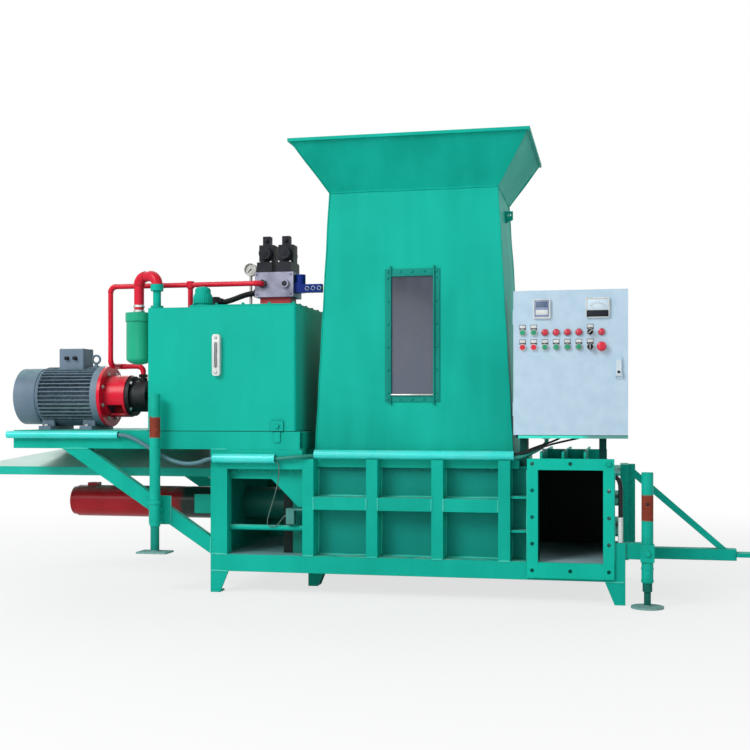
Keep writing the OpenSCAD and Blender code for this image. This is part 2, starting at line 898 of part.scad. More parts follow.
module hopper() color(paint) {
    foot = grow(hopper_low, foot_w);
    difference() {
        union() {
            tower_shell(hopper_low, hopper_high, hopper_z0, hopper_z1, hopper_t);
            difference() {
                tower(foot, foot, seat_z, hopper_z0);
                tower(grow(hopper_low, -hopper_t), grow(hopper_low, -hopper_t),
                    seat_z - overrun, hopper_z0 + overrun);
            }
        }
        window_seat(0, [hopper_y0 - overrun, hopper_y0 + hopper_t + overrun]);
    }
    lifting_lug();
    translate([2 * window_x, 0, 0]) mirror([1, 0, 0]) lifting_lug();
}

// The opening behind the window frame, narrowed by the given clearance
module window_seat(clear, y) {
    inset = window_strip - pane_edge + clear;
    box([window_x - window_w / 2 + inset, window_x + window_w / 2 - inset], y,
        [window_z + inset, window_z + window_h - inset]);
}

module hopper_flare() color(paint) {
    tower_shell(hopper_high, flare_high, hopper_z1, hopper_z1 + flare_h, hopper_t);
    rim = grow(flare_high, rim_w);
    mouth = grow(flare_high, -rim_lap);
    z = [hopper_z1 + flare_h - rim_lap, hopper_z1 + flare_h + rim_h];
    difference() {
        tower(rim, rim, z[0], z[1]);
        tower(mouth, mouth, z[0] - overrun, z[1] + overrun);
    }
}

module window_frame() color(paint) difference() {
    box([window_x - window_w / 2, window_x + window_w / 2], [hopper_y0 - frame_t, hopper_y0],
        [window_z, window_z + window_h]);
    window_seat(pane_edge, [hopper_y0 - frame_t - overrun, hopper_y0 + overrun]);
}

module window_pane() color([0.42, 0.42, 0.48, 0.8]) window_seat(seat, [hopper_y0, hopper_y0 + hopper_t]);

// Motor deck

module deck_brace() {
    slab_y([0, brace_w]) polygon([
        [0, floor_z], [0, floor_z + brace_foot],
        [-brace_head_reach, deck_z], [-brace_head_reach - brace_head, deck_z]
    ]);
}

module motor_deck() color(paint) difference() {
    x1 = bay_len - deck_back;
    union() {
        both_sides() {
            channel([-deck_reach, x1], [0, deck_beam_w], [deck_z, deck_top], beam_t);
            deck_brace();
        }
        for (x = [-deck_reach, -brace_head_reach, tank_x0, 0, x1 - deck_beam_w])
            box([x, x + deck_beam_w], [deck_beam_w, frame_d - deck_beam_w], [deck_z, deck_top]);
        box([-deck_reach, tank_x0 - seat], [0, frame_d], [deck_top, deck_top + deck_plate_t]);
        box([-left_jack_x - bracket_w / 2, -left_jack_x + bracket_w / 2], [-bracket_t, 0],
            [left_pivot_z - bracket_h / 2, left_pivot_z + bracket_h / 2]);
    }
    rod_y(-left_jack_x, [-bracket_t - overrun, 0], left_pivot_z, pivot_d + 2 * fit);
}

module side_tray() color([0.25, 0.52, 0.47]) {
    z1 = deck_z - tray_drop;
    difference() {
        box([-tray_reach, 0], [tray_y, tray_y + tray_rail], [z1, z1 + tray_rail]);
        box([-tray_reach - overrun, overrun], [tray_y + tray_rail_t, tray_y + tray_rail + overrun],
            [z1 - overrun, z1 + tray_rail - tray_rail_t]);
    }
    translate([0, tray_y + tray_rail_t, z1 + tray_rail - tray_t]) rotate([tray_slope, 0, 0]) {
        slab_z([0, tray_t])
            polygon([[-tray_reach, 0], [0, 0], [0, tray_d], [-tray_reach + tray_cut, tray_d]]);
        box([-tray_reach + tray_cut, 0], [tray_d - tray_rail, tray_d], [-tray_rail_t, 0]);
    }
}

module conduit_pipes() color(paint) {
    tube_x([-deck_reach - deck_conduit_past, deck_conduit_end], -deck_conduit_d / 2 - seat,
        deck_top - deck_conduit_d / 2, deck_conduit_d, conduit_wall);
    tube_x(bay_conduit_ends, -bay_conduit_d / 2 - seat, deck_z - bay_conduit_drop,
        bay_conduit_d, conduit_wall);
    tube_x([bay_len + post_w, throat_x + chamber_conduit_lap], chamber_conduit_d / 2,
        seat_z + chamber_conduit_d / 2 + seat, chamber_conduit_d, conduit_wall);
}

module wiring() color(black) {
    cord(power_route, cable_d, cable_sides);
    cord(front_lead_route, lead_d, lead_sides);
    cord(rear_lead_route, lead_d, lead_sides);
    cord(drain_hose_route, drain_hose_d, drain_hose_sides);
    cord(wire_route, wire_d, wire_sides);
}

// The switch hangs from a bracket on the first wall post
module limit_switch() color([0.75, 0.76, 0.74]) {
    z = floor_z + bale_h * switch_rise_share;
    x0 = bay_len - switch_reach;
    y1 = throat_rib_y + switch_d;
    box([x0, bay_len], [throat_rib_y, y1 + throat_rib_y], [z, z + switch_bracket_t]);
    box([x0, x0 + switch_w], [throat_rib_y, y1], [z - switch_h, z]);
    rod_y(x0 + switch_w / 2, [y1, y1 + lever_d], z - switch_h / 2, lever_d);
}

module drawbar() color(paint) difference() {
    x1 = frame_len + drawbar_l;
    top = roof_z + plate_t;
    union() {
        box([frame_len, frame_len + plate_l], [mid_y - hitch_w / 2, mid_y + hitch_w / 2], [bar_z0, top]);
        box([frame_len + plate_l, x1], [mid_y - bar_w / 2, mid_y + bar_w / 2], [bar_z0, bar_z0 + bar_h]);
        box([frame_len + plate_l, frame_len + plate_l + stay_t], [mid_y - stay_w / 2, mid_y + stay_w / 2],
            [bar_z0 + bar_h, top]);
        slab_y([mid_y - stay_w / 2, mid_y + stay_w / 2]) polygon([
            [frame_len + plate_l, top], [frame_len + plate_l, top - stay_w],
            [x1 - 2 * stay_w, bar_z0 + bar_h], [x1 - stay_w, bar_z0 + bar_h]
        ]);
        slab_z([bar_z0 + (bar_h - tongue_t) / 2, bar_z0 + (bar_h + tongue_t) / 2]) {
            translate([x1, mid_y - tongue_w / 2]) square([tongue_l - tongue_w / 2, tongue_w]);
            translate([tow_x, mid_y]) circle(d = tongue_w);
        }
    }
    rod_z(tow_x, mid_y, [bar_z0, bar_z0 + bar_h], tow_pin_d);
}

// Cylinders and rams

module main_cylinder() color(crimson) difference() {
    union() {
        rod_x([barrel_x0, barrel_x1], mid_y, press_z, main_d);
        rod_x([barrel_x0 - cap_l, barrel_x0], mid_y, press_z, main_d - barrel_wall);
        box([-main_flange_t, 0], [mid_y - main_flange / 2, mid_y + main_flange / 2],
            [press_z - main_flange / 2, press_z + main_flange / 2]);
        box([-side_port_back, side_port_l - side_port_back], [mid_y - main_d / 2 - side_port_out, mid_y],
            [press_z - side_port_h / 2, press_z + side_port_h / 2]);
        for (x = [barrel_x0 + main_port_w, -main_flange_t - 2 * main_port_w])
            translate([x, mid_y - main_port_w / 2, press_z])
                cube([main_port_w, main_port_w, main_d / 2 + barrel_wall]);
    }
    rod_x([barrel_x0, barrel_x1 - gland_l], mid_y, press_z, main_d - 2 * barrel_wall);
    rod_x([barrel_x0, barrel_x1 + overrun], mid_y, press_z, main_rod_d + 2 * fit);
}

module ram_rod() color(bare_steel) {
    rod_x([barrel_x0 + seat, barrel_x0 + piston_l], mid_y, press_z, main_d - 2 * barrel_wall - 2 * fit);
    rod_x([barrel_x0 + piston_l, head_x0], mid_y, press_z, main_rod_d);
}

// A stiffened ram plate: face, back plate, webs between them, strips that slide on the floor
module press_head() color([0.35, 0.40, 0.40]) {
    y = [wall_y + slide, frame_d - wall_y - slide];
    z = [floor_z + strip_t + seat, roof_z - slide];
    box([head_x1 - face_t, head_x1], y, z);
    box([head_x0, head_x0 + web_t], y, z);
    for (share = [0 : 0.25 : 1])
        translate([0, blend(y[0], y[1] - web_t, share), 0])
            box([head_x0, head_x1 - face_t], [0, web_t], z);
    for (share = [0, 0.5, 1])
        translate([0, 0, blend(z[0], z[1] - web_t, share)])
            box([head_x0, head_x1 - face_t], y, [0, web_t]);
    for (share = [0, 1])
        translate([0, blend(y[0], y[1] - boss_d, share), 0])
            box([head_x0, head_x1], [0, boss_d], [floor_z + seat, z[0]]);
}

eject_x = (outlet_x0 + outlet_x1) / 2;

module ejector_cylinder() color(crimson) difference() {
    union() {
        rod_y(eject_x, [eject_y0, eject_y1 - cap_l], press_z, eject_d);
        rod_y(eject_x, [eject_y1 - cap_l, eject_y1], press_z, eject_d - eject_wall);
        box([eject_x - eject_flange / 2, eject_x + eject_flange / 2], [eject_y0, eject_y0 + eject_flange_t],
            [press_z - eject_flange / 2, press_z + eject_flange / 2]);
        for (y = [eject_y0 + 2 * main_port_w, eject_y1 - 2 * main_port_w])
            translate([eject_x - main_port_w / 2, y, press_z])
                cube([main_port_w, main_port_w, eject_d / 2 + eject_wall]);
    }
    rod_y(eject_x, [eject_y0 + gland_l, eject_y1 - cap_l], press_z, eject_d - 2 * eject_wall);
    rod_y(eject_x, [eject_y0 - overrun, eject_y1 - cap_l], press_z, eject_rod_d + 2 * fit);
}

module ejector_rod() color(bare_steel) {
    rod_y(eject_x, [eject_y1 - cap_l - piston_l, eject_y1 - cap_l - seat], press_z,
        eject_d - 2 * eject_wall - 2 * fit);
    rod_y(eject_x, [push_y1, eject_y1 - cap_l - piston_l], press_z, eject_rod_d);
}

module push_plate() color([0.35, 0.40, 0.40]) {
    x = [outlet_x0 + slide, outlet_x1 - slide];
    z = [floor_z + strip_t + seat, roof_z - slide];
    box(x, [push_y0, push_y0 + face_t], z);
    for (share = [0, 0.5, 1])
        translate([blend(x[0], x[1] - web_t, share), 0, 0]) box([0, web_t], [push_y0, push_y1 - web_t], z);
    for (share = [0, 0.5, 1])
        translate([0, 0, blend(z[0], z[1] - web_t, share)]) box(x, [push_y0, push_y1 - web_t], [0, web_t]);
    rod_y(eject_x, [push_y0, push_y1], press_z, push_boss_d);
    box(x, [push_y0, push_y1 - web_t], [floor_z + seat, z[0]]);
}

// Oil tank and its fittings

module oil_tank() color(paint) {
    difference() {
        translate([tank_x0, 0, 0]) slab_z([deck_top, tank_z1]) rounded(tank_w, tank_d, tank_r);
        box([tank_x0 + tank_wall, tank_x1 - tank_wall], [tank_wall, tank_d - tank_wall],
            [deck_top + tank_wall, tank_z1 - tank_wall]);
        box([lid_x0 + lid_lip, lid_x1 - lid_lip], [lid_y + lid_lip, tank_d - lid_y - lid_lip],
            [tank_z1 - 2 * tank_wall, tank_z1 + overrun]);
    }
    rod_z(standpipe_x, standpipe_inset, [tank_z1, standpipe_z - union_h], standpipe_d);
    rod_z(standpipe_x, standpipe_inset, [standpipe_z - union_h, standpipe_z], union_d);
    rod_z(standpipe_x, standpipe_inset, [tank_z1, tank_z1 + pad_t], union_d);
    x = tank_x1 - clip_inset;
    box([x - clip_w, x], [-clip_t, 0], [deck_top, deck_top + clip_h / 2]);
    box([x - clip_w / 2 - clip_strap_w / 2, x - clip_w / 2 + clip_strap_w / 2], [-clip_t, 0],
        [deck_top - clip_h / 2, deck_top]);
    rod_y(x - clip_w / 2, [-clip_t - clip_bolt_d / 2, -clip_t], deck_top + clip_h / 4, clip_bolt_d);
}

module tank_lid() color(paint) {
    difference() {
        box([lid_x0, lid_x1], [lid_y, tank_d - lid_y], [tank_z1, lid_z]);
        rod_z(cap_x, cap_y + lid_y, [tank_z1 - overrun, lid_z + overrun], neck_d - 2 * cap_wall);
    }
    for (x = [lid_x0 + lid_bolt_d, lid_x1 - lid_bolt_d], share = [0.03 : 0.188 : 0.98])
        rod_z(x, blend(lid_y, tank_d - lid_y, share), [lid_z, lid_z + lid_bolt_h], lid_bolt_d);
    for (y = [lid_y + lid_bolt_d, tank_d - lid_y - lid_bolt_d], share = [0.25, 0.5, 0.75])
        rod_z(blend(lid_x0, lid_x1, share), y, [lid_z, lid_z + lid_bolt_h], lid_bolt_d);
    difference() {
        rod_z(cap_x, cap_y + lid_y, [lid_z, lid_z + neck_h], neck_d);
        rod_z(cap_x, cap_y + lid_y, [lid_z - overrun, lid_z + neck_h + overrun], neck_d - 2 * cap_wall);
    }
}

// A breather cap with a domed top that turns on its neck
module filler_cap() color(paint) translate([cap_x, cap_y + lid_y, lid_z + seat]) rotate_extrude() {
    r = cap_d / 2;
    difference() {
        union() {
            square([r, cap_h - r * dome_share]);
            translate([0, cap_h - r * dome_share]) intersection() {
                scale([1, dome_share]) circle(r);
                square([r, r]);
            }
        }
        square([neck_d / 2 + seat, neck_h]);
    }
}

module level_gauge() color([0.88, 0.88, 0.84]) difference() {
    x = tank_x0 + gauge_x;
    z = tank_z1 - gauge_top - gauge_h;
    translate([x, 0, z]) slab_y([-gauge_t, 0]) rounded(gauge_w, gauge_h, gauge_w / 3);
    translate([x + (gauge_w - gauge_slot_w) / 2, 0, z + gauge_slot_inset])
        slab_y([-gauge_t - overrun, -gauge_t / 2])
            rounded(gauge_slot_w, gauge_h - 2 * gauge_slot_inset, gauge_slot_w / 3);
}

module return_filter() color(paint) {
    z0 = filter_z1 - filter_h;
    translate([filter_x, filter_y, z0]) rotate_extrude() {
        r = filter_d / 2;
        sump = r * dome_share;
        translate([0, sump]) square([r - fin_t, filter_h - sump - filter_head_h]);
        intersection() {
            translate([0, sump]) scale([1, dome_share]) circle(r - fin_t);
            square([r, sump]);
        }
        translate([0, filter_h - filter_head_h]) square([r, filter_head_h]);
    }
    box([filter_x, tank_x0], [filter_y - pad_d / 2, filter_y + pad_d / 2],
        [filter_z1 - filter_head_h, filter_z1]);
}

// The hose loops from the filter's head over the tank's edge into the standpipe
module return_hose() color(crimson) {
    top = standpipe_z + hose_bend;
    bent_pipe([[filter_x, filter_y, filter_z1], [filter_x, filter_y, top],
        [standpipe_x, standpipe_inset, top], [standpipe_x, standpipe_inset, standpipe_z]],
        hose_bend, hose_d);
}

pipe_x = (bell_x0 + pump_x0) / 2;
port_x = (pump_x0 + pump_flange_t + pump_x1) / 2;
port_z = axis_z + pump_d / 2 + port_l;
pipe_z = tank_z1 + pipe_rise;

// From the pump's top port, forward over the bell housing, up and along to the valve block,
// with a branch down to the tank
module pressure_pipe() color(crimson) {
    low = port_z + 2 * pipe_bend;
    x1 = block_x0 + port_d;
    tee_x = lid_x0 - tee_inset;
    bent_pipe([[port_x, motor_y, port_z], [port_x, motor_y, low], [pipe_x, motor_y, low],
        [pipe_x, pipe_y, low], [pipe_x, pipe_y, pipe_z], [x1, pipe_y, pipe_z],
        [x1, block_y0 - port_l, pipe_z]], pipe_bend, pipe_d);
    rod_z(tee_x, pipe_y, [tank_z1 + pad_t, pipe_z - tee_d / 2 + elbow_lap], pipe_d);
    rod_z(tee_x, pipe_y, [tank_z1, tank_z1 + pad_t], pad_d);
    rod_z(tee_x, pipe_y, [pipe_z - tee_d / 2, pipe_z + tee_d / 2], tee_d * elbow_share);
}

module oil_pipes() {
    return_hose();
    pressure_pipe();
}

module valve_block() color([0.62, 0.63, 0.64]) {
    box([block_x0, block_x1], [block_y0, block_y0 + block_d], [block_z0, block_z1]);
    box([block_x0 + block_foot_inset, block_x1 - block_foot_inset],
        [block_y0 + block_foot_inset, block_y0 + block_d - block_foot_inset], [lid_z, block_z0]);
    rod_y(block_x0 + port_d, [block_y0 - port_l, block_y0], pipe_z, port_d);
    rod_y(block_x1 - port_d, [block_y0 - port_l, block_y0], pipe_z, port_d);
}

// Two pilot valves side by side: base, body with a coil at each end, plug on top
module solenoid_valves() color(black) {
    for (share = [0.25, 0.75]) translate([blend(block_x0, block_x1, share), block_y0, block_z1]) {
        w = valve_w / 2;
        box([-w, w], [0, block_d], [0, valve_base_h]);
        translate([0, 0, valve_base_h]) {
            box([-w, w], [(block_d - valve_d) / 2, (block_d + valve_d) / 2], [0, valve_body_h]);
            rod_y(0, [0, block_d], valve_body_h / 2, valve_coil_d);
            box([-w / 2, w / 2], [(block_d - valve_d) / 2, block_d / 2],
                [valve_body_h, valve_body_h + valve_plug_h]);
        }
    }
}

dial_x = block_x0 - dial_d / 2 - dial_stem_d / 2;
dial_z = lid_z + dial_rise + block_h;
dial_y = block_y0 + block_d / 2;

module pressure_gauge() color(bare_steel) difference() {
    union() {
        rod_y(dial_x, [dial_y - dial_t, dial_y], dial_z, dial_d);
        rod_z(dial_x, dial_y - dial_t / 2, [lid_z, dial_z], dial_stem_d);
        rod_z(dial_x, dial_y - dial_t / 2, [lid_z, lid_z + pad_t], 2 * dial_stem_d);
    }
    rod_y(dial_x, [dial_y - dial_t - overrun, dial_y - dial_t + 2 * dial_wall], dial_z,
        dial_d - 2 * dial_wall);
}

module gauge_needle() color(black) {
    y = dial_y - dial_t + 2 * dial_wall - seat;
    translate([dial_x, 0, dial_z]) rotate([0, -135, 0]) {
        box([-needle_w / 2, needle_w / 2], [y - needle_t, y], [-needle_l / 3, needle_l]);
        rod_y(0, [y - needle_t, y], 0, 2 * needle_w);
    }
}

// An elbow body on the block and a bolted bar that runs towards the hopper
module blue_manifold() color([0.10, 0.25, 0.72]) {
    y = block_y0 + block_foot_inset;
    z = block_z0 + block_foot_inset;
    x1 = hopper_x0 + hopper_lean / 2 - blue_gap;
    rod_z(block_x1 + blue_w / 2, y + blue_w / 2, [z, z + blue_elbow_h], blue_w);
    box([block_x1, block_x1 + blue_w / 2], [y, y + blue_w], [z, z + blue_w]);
    box([block_x1 + blue_w / 2, x1], [y, y + blue_bar_d], [z, z + blue_bar_h]);
    for (share = [0.35, 0.62, 0.89])
        rod_y(blend(block_x1 + blue_w / 2, x1, share), [y - blue_bolt_h, y], z + blue_bar_h / 2, blue_bolt_d);
}

// Motor and pump

// The finned frame with its feet, end shields and terminal box, bored for the shaft
module motor_frame() color(motor_grey) difference() {
    union() {
        translate([0, motor_y, axis_z]) slab_x([frame_x0, frame_x1]) {
            circle(d = motor_d - 2 * fin_h);
            for (i = [0 : fin_count - 1]) rotate(i * 360 / fin_count)
                translate([0, -fin_t / 2]) square([motor_d / 2, fin_t]);
        }
        rod_x([frame_x0 - shield_l, frame_x0], motor_y, axis_z, motor_d - fin_h);
        rod_x([frame_x1, frame_x1 + shield_l], motor_y, axis_z, 2 * shield_r);
        for (x = [frame_x0, frame_x1 - motor_foot_l]) {
            half = motor_d * foot_w_share / 2;
            box([x, x + motor_foot_l], [motor_y - half, motor_y + half],
                [deck_top + deck_plate_t, deck_top + deck_plate_t + motor_foot_t]);
            for (y = [motor_y - half * foot_web_share, motor_y + half * foot_web_share - motor_foot_t])
                box([x, x + motor_foot_l], [y, y + motor_foot_t], [deck_top + deck_plate_t, axis_z]);
        }
        translate([(frame_x0 + frame_x1 - term_w) / 2, motor_y - term_d / 2, axis_z])
            slab_z([0, motor_d / 2 + term_h]) rounded(term_w, term_d, fin_h / 2);
    }
    rod_x([cowl_x0, bell_x0 + overrun], motor_y, axis_z, shaft_d + 2 * fit);
}

// A pressed cowl with radial slots in its end
module fan_cowl() color(motor_grey) difference() {
    x1 = frame_x0 - shield_l;
    tube_d = motor_d - fin_h + 2 * cowl_wall;
    rod_x([cowl_x0, x1 + shield_l / 2], motor_y, axis_z, tube_d + 2 * seat);
    rod_x([cowl_x0 + cowl_wall, x1 + shield_l], motor_y, axis_z, tube_d + 2 * seat - 2 * cowl_wall);
    for (i = [0 : cowl_slot_count - 1])
        translate([0, motor_y, axis_z]) rotate([i * 360 / cowl_slot_count, 0, 0])
            box([cowl_x0 - overrun, cowl_x0 + cowl_wall + overrun], motor_d * cowl_slot_shares,
                [-cowl_slot_w / 2, cowl_slot_w / 2]);
}

// The shaft with its fan in the cowl and its coupling in the bell housing
module motor_rotor() color(bare_steel) {
    fan_x = cowl_x0 + cowl_l / 2 - fan_l / 2;
    rod_x([fan_x + fan_t, pump_x0 - seat], motor_y, axis_z, shaft_d);
    rod_x([bell_x0 + bell_flange_t, bell_x0 + bell_flange_t + coupling_l], motor_y, axis_z, coupling_d);
    rod_x([fan_x, fan_x + fan_l], motor_y, axis_z, shaft_d + fin_h);
    for (i = [0 : fan_blades - 1])
        translate([0, motor_y, axis_z]) rotate([i * 360 / fan_blades, 0, 0])
            box([fan_x + fan_t, fan_x + fan_l - fan_t], [shaft_d / 2 + fan_t, motor_d * fan_share],
                [-fan_t / 2, fan_t / 2]);
}

module bell_housing() color(crimson) difference() {
    union() {
        rod_x([bell_x0, bell_x0 + bell_flange_t], motor_y, axis_z, 2 * shield_r);
        rod_x([bell_x0 + bell_flange_t, pump_x0], motor_y, axis_z, bell_d);
    }
    rod_x([bell_x0 - overrun, pump_x0 - bell_wall], motor_y, axis_z, bell_d - 2 * bell_wall);
    rod_x([bell_x0, pump_x0 + overrun], motor_y, axis_z, pump_spigot_d);
    for (a = [45, 225])
        translate([0, motor_y, axis_z]) rotate([a, 0, 0])
            box([bell_x0 + bell_flange_t + bell_wall, pump_x0 - bell_wall], [0, bell_d],
                [-bell_window_w / 2, bell_window_w / 2]);
}

module pump() color(black) {
    rod_x([pump_x0, pump_x0 + pump_flange_t], motor_y, axis_z, pump_d + 2 * pump_flange_t);
    rod_x([pump_x0 + pump_flange_t, pump_x1], motor_y, axis_z, pump_d);
    rod_z(port_x, motor_y, [axis_z, port_z], port_d);
    rod_x([pump_x1, tank_x0 - pad_t], motor_y, axis_z, pump_spigot_d / 2);
    rod_x([tank_x0 - pad_t, tank_x0], motor_y, axis_z, pump_spigot_d);
}

// Jacks

// A capped tube with a pivot boss on its back, bored for the leg
module jack_tube(x, y, z, pivot, face) {
    difference() {
        union() {
            rod_z(x, y, z, jack_d);
            rod_y(x, [y, face], pivot, boss_w);
            children();
        }
        rod_z(x, y, [z[0] - overrun, z[1] - jack_wall], jack_d - 2 * jack_wall);
    }
}

jack_leg_d = jack_d - 2 * jack_wall - 2 * seat;

// The tube turns on a stud that passes through the frame's arm and ends in a nut
module right_jack_tube() color(paint) {
    jack_tube(pivot_x, -right_jack_y, [right_tube_z, right_tube_z + right_jack_l], pivot_z, arm_y - seat)
        box([pivot_x - sleeve_w / 2, pivot_x + sleeve_w / 2],
            [-right_jack_y - sleeve_w / 2, -right_jack_y + sleeve_w / 2],
            [pivot_z - sleeve_h / 2, pivot_z + sleeve_h / 2]);
    rod_y(pivot_x, [arm_y - seat, upright_d + seat], pivot_z, pivot_d);
    rod_y(pivot_x, [upright_d + seat, upright_d + seat + nut_t], pivot_z, nut_d);
}

module right_jack_leg() color(bare_steel) translate([pivot_x, -right_jack_y, 0]) {
    rod_z(0, 0, [right_neck_l + sole_t, right_tube_z + right_jack_l * jack_lap_share], jack_leg_d);
    rod_z(0, 0, [sole_t, right_neck_l + sole_t], right_neck_d);
    rod_z(0, 0, [0, sole_t], foot_d);
}

left_tube_z = left_foot_rise + left_jack_rise + sole_t;

module left_jack_tube() color(paint) {
    collar_z = left_tube_z + collar_drop;
    jack_tube(-left_jack_x, -left_jack_y, [left_tube_z, left_tube_z + left_jack_l], left_pivot_z,
        -bracket_t - seat)
        rod_z(-left_jack_x, -left_jack_y, [collar_z, collar_z + collar_h], collar_d);
    rod_y(-left_jack_x, [-bracket_t - seat, -seat], left_pivot_z, pivot_d);
}

module left_jack_leg() color(paint) translate([-left_jack_x, -left_jack_y, left_foot_rise]) {
    rod_z(0, 0, [sole_t, left_jack_rise + left_jack_l * jack_lap_share], jack_leg_d);
    box([-left_foot_w / 2, left_foot_w / 2], [-left_foot_d / 2, left_foot_d / 2], [0, sole_t]);
}

// Control cabinet

module cabinet_stand() color([0.10, 0.30, 0.28]) {
    foot_z = roof_z + plate_t;
    post_x = [hopper_x1 + seat_w, outlet_x1 + side_t - stand_w];
    for (x = post_x, y = [stand_y, cab_d - stand_w])
        box([x, x + stand_w], [y, y + stand_w], [foot_z, cab_z0]);
    for (y = [stand_y, cab_d - stand_w])
        box([cab_x0, cab_x1], [y, y + stand_w], [cab_z0 - stand_rail_h, cab_z0]);
    for (x = post_x) {
        box([x, x + stand_w], [stand_y, cab_d], [cab_z0 - stand_rail_h, cab_z0]);
        box([x, x + stand_w], [lip_d, stand_y], [cab_z0 - stand_rail_h, cab_z0 - slide]);
    }
    box([post_x[0], cab_x1], [0, lip_d], [cab_z0 - stand_rail_h, cab_z0 - slide]);
}

// The two hinge barrels on the left edge of the door, wider and longer by the given clearance
module door_hinges(clear) {
    for (z = [cab_z0 + hinge_inset, cab_z1 - hinge_inset - hinge_h])
        rod_z(cab_x0, door_t, [z - clear, z + hinge_h + clear], hinge_d + 2 * clear);
}

module cabinet_box() color(cabinet_white) {
    y0 = door_t + door_gap;
    difference() {
        box([cab_x0, cab_x1], [y0, y0 + cab_d], [cab_z0, cab_z1]);
        box([cab_x0 + cab_t, cab_x1 - cab_t], [y0 - overrun, y0 + cab_d - cab_t],
            [cab_z0 + cab_t, cab_z1 - cab_t]);
        door_hinges(2 * seat);
    }
    rod_z(gland_x, power_route[len(power_route) - 1].y, [cab_z0 - gland_h, cab_z0], gland_d);
}

function column(i) = cab_x0 + column_first + i * column_pitch;
upper_z = cab_z0 + row_high;
lower_z = cab_z0 + row_low;

// Columns that carry push buttons, as pairs of column and height
button_places = [[0, upper_z], [1, upper_z], [0, lower_z], [1, lower_z],
    [2, lower_z], [3, lower_z], [4, lower_z], [5, lower_z]];
lamp_places = [[2, upper_z], [3, upper_z], [4, upper_z], [5, upper_z], [7, upper_z]];
selector_places = [[6, upper_z], [6, lower_z]];
stop_place = [7, lower_z];

// Places children at a list of controls
module at(places) for (p = places) translate([column(p[0]), 0, p[1]]) children();

module cabinet_door() color(cabinet_white) {
    difference() {
        box([cab_x0, cab_x1], [0, door_t], [cab_z0, cab_z1]);
        box([cab_x0 + cab_t, cab_x1 - cab_t], [door_skin, door_t + overrun],
            [cab_z0 + cab_t, cab_z1 - cab_t]);
        at(concat(button_places, selector_places, [stop_place]))
            rod_y(0, [-overrun, door_skin + overrun], 0, button_d + 2 * ring_clear);
    }
    door_hinges(0);
    translate([cab_x0 + lock_x, 0, cab_z0 + lock_z]) difference() {
        union() {
            slab_y([-lock_t, 0]) translate([-lock_w / 2, 0]) rounded(lock_w, lock_h, lock_w / 3);
            for (x = [-paddle_w / 2 - seat - lock_ear_w, paddle_w / 2 + seat])
                box([x, x + lock_ear_w], [-lock_t - seat - paddle_t, -lock_t],
                    [lock_pin_rise - paddle_t, lock_pin_rise + paddle_t]);
        }
        rod_x([-lock_w, lock_w], -lock_t - seat - paddle_t / 2, lock_pin_rise, lock_pin_d + 2 * fit);
    }
}

// A paddle that lifts off the lock plate on a pin at its foot
module door_handle() color(bare_steel) {
    reach = lock_h - 2 * lock_pin_rise - paddle_w / 2;
    pin_x = paddle_w / 2 + lock_ear_w;
    translate([cab_x0 + lock_x, -lock_t - seat - paddle_t / 2, cab_z0 + lock_z + lock_pin_rise]) {
        rod_x([-pin_x, pin_x], 0, 0, lock_pin_d);
        rod_x([-paddle_w / 2, paddle_w / 2], 0, 0, paddle_t);
        slab_y([-paddle_t / 2, paddle_t / 2]) {
            translate([-paddle_w / 2, 0]) square([paddle_w, reach]);
            translate([0, reach]) circle(d = paddle_w);
        }
    }
}

// A square meter with a raised edge round its face
module meter(w, h) {
    difference() {
        slab_y([-meter_t, 0]) rounded(w, h, meter_edge);
        translate([meter_edge, 0, meter_edge]) slab_y([-meter_t - overrun, -meter_t + meter_sink])
            rounded(w - 2 * meter_edge, h - 2 * meter_edge, meter_edge / 2);
    }
}

module panel_meters() color([0.90, 0.91, 0.90]) {
    translate([cab_x0 + counter_x, 0, cab_z0 + counter_z]) meter(counter_w, counter_h);
    translate([cab_x0 + ammeter_x, 0, cab_z0 + ammeter_z]) meter(ammeter_w, ammeter_h);
}

module indicator_lamps() color([0.80, 0.10, 0.12]) at(lamp_places) rotate([90, 0, 0]) rotate_extrude() {
    square([lamp_d / 2, lamp_h / 2]);
    translate([0, lamp_h / 2]) intersection() {
        scale([1, lamp_h / lamp_d]) circle(d = lamp_d);
        square([lamp_d / 2, lamp_h]);
    }
}

module button_rings() color([0.70, 0.71, 0.72]) {
    at(concat(button_places, selector_places, [stop_place])) difference() {
        rod_y(0, [-ring_h, 0], 0, ring_d);
        rod_y(0, [-ring_h - overrun, overrun], 0, button_d + 2 * ring_clear);
    }
    at(concat(button_places, selector_places))
        translate([0, 0, tag_rise]) box([-tag_w / 2, tag_w / 2], [-tag_t, 0], [-tag_h / 2, tag_h / 2]);
}

module push_button(i, tint) {
    color(tint) at([button_places[i]]) rod_y(0, [-button_out, button_in], 0, button_d);
}

module selector(i, angle) {
    color(black) at([selector_places[i]]) rotate([0, angle, 0]) {
        back = -ring_h - seat;
        rod_y(0, [back, button_in], 0, button_d);
        rod_y(0, [back - knob_h, back], 0, knob_d);
        box([-knob_bar_w / 2, knob_bar_w / 2], [back - knob_h - knob_bar_h, back - knob_h],
            [-knob_d / 2, knob_d / 2]);
    }
}

module emergency_stop() color([0.85, 0.06, 0.08]) at([stop_place]) rotate([90, 0, 0]) {
    base = ring_h + seat + 2 * button_travel;
    translate([0, 0, -button_in]) cylinder(h = base + button_in, d = button_d);
    translate([0, 0, base]) rotate_extrude() {
        square([stop_d / 2, stop_h / 2]);
        translate([0, stop_h / 2]) intersection() {
            scale([1, stop_h / stop_d]) circle(d = stop_d);
            square([stop_d / 2, stop_h]);
        }
    }
}

green_tint = [0.10, 0.60, 0.25];
red_tint = [0.80, 0.08, 0.10];

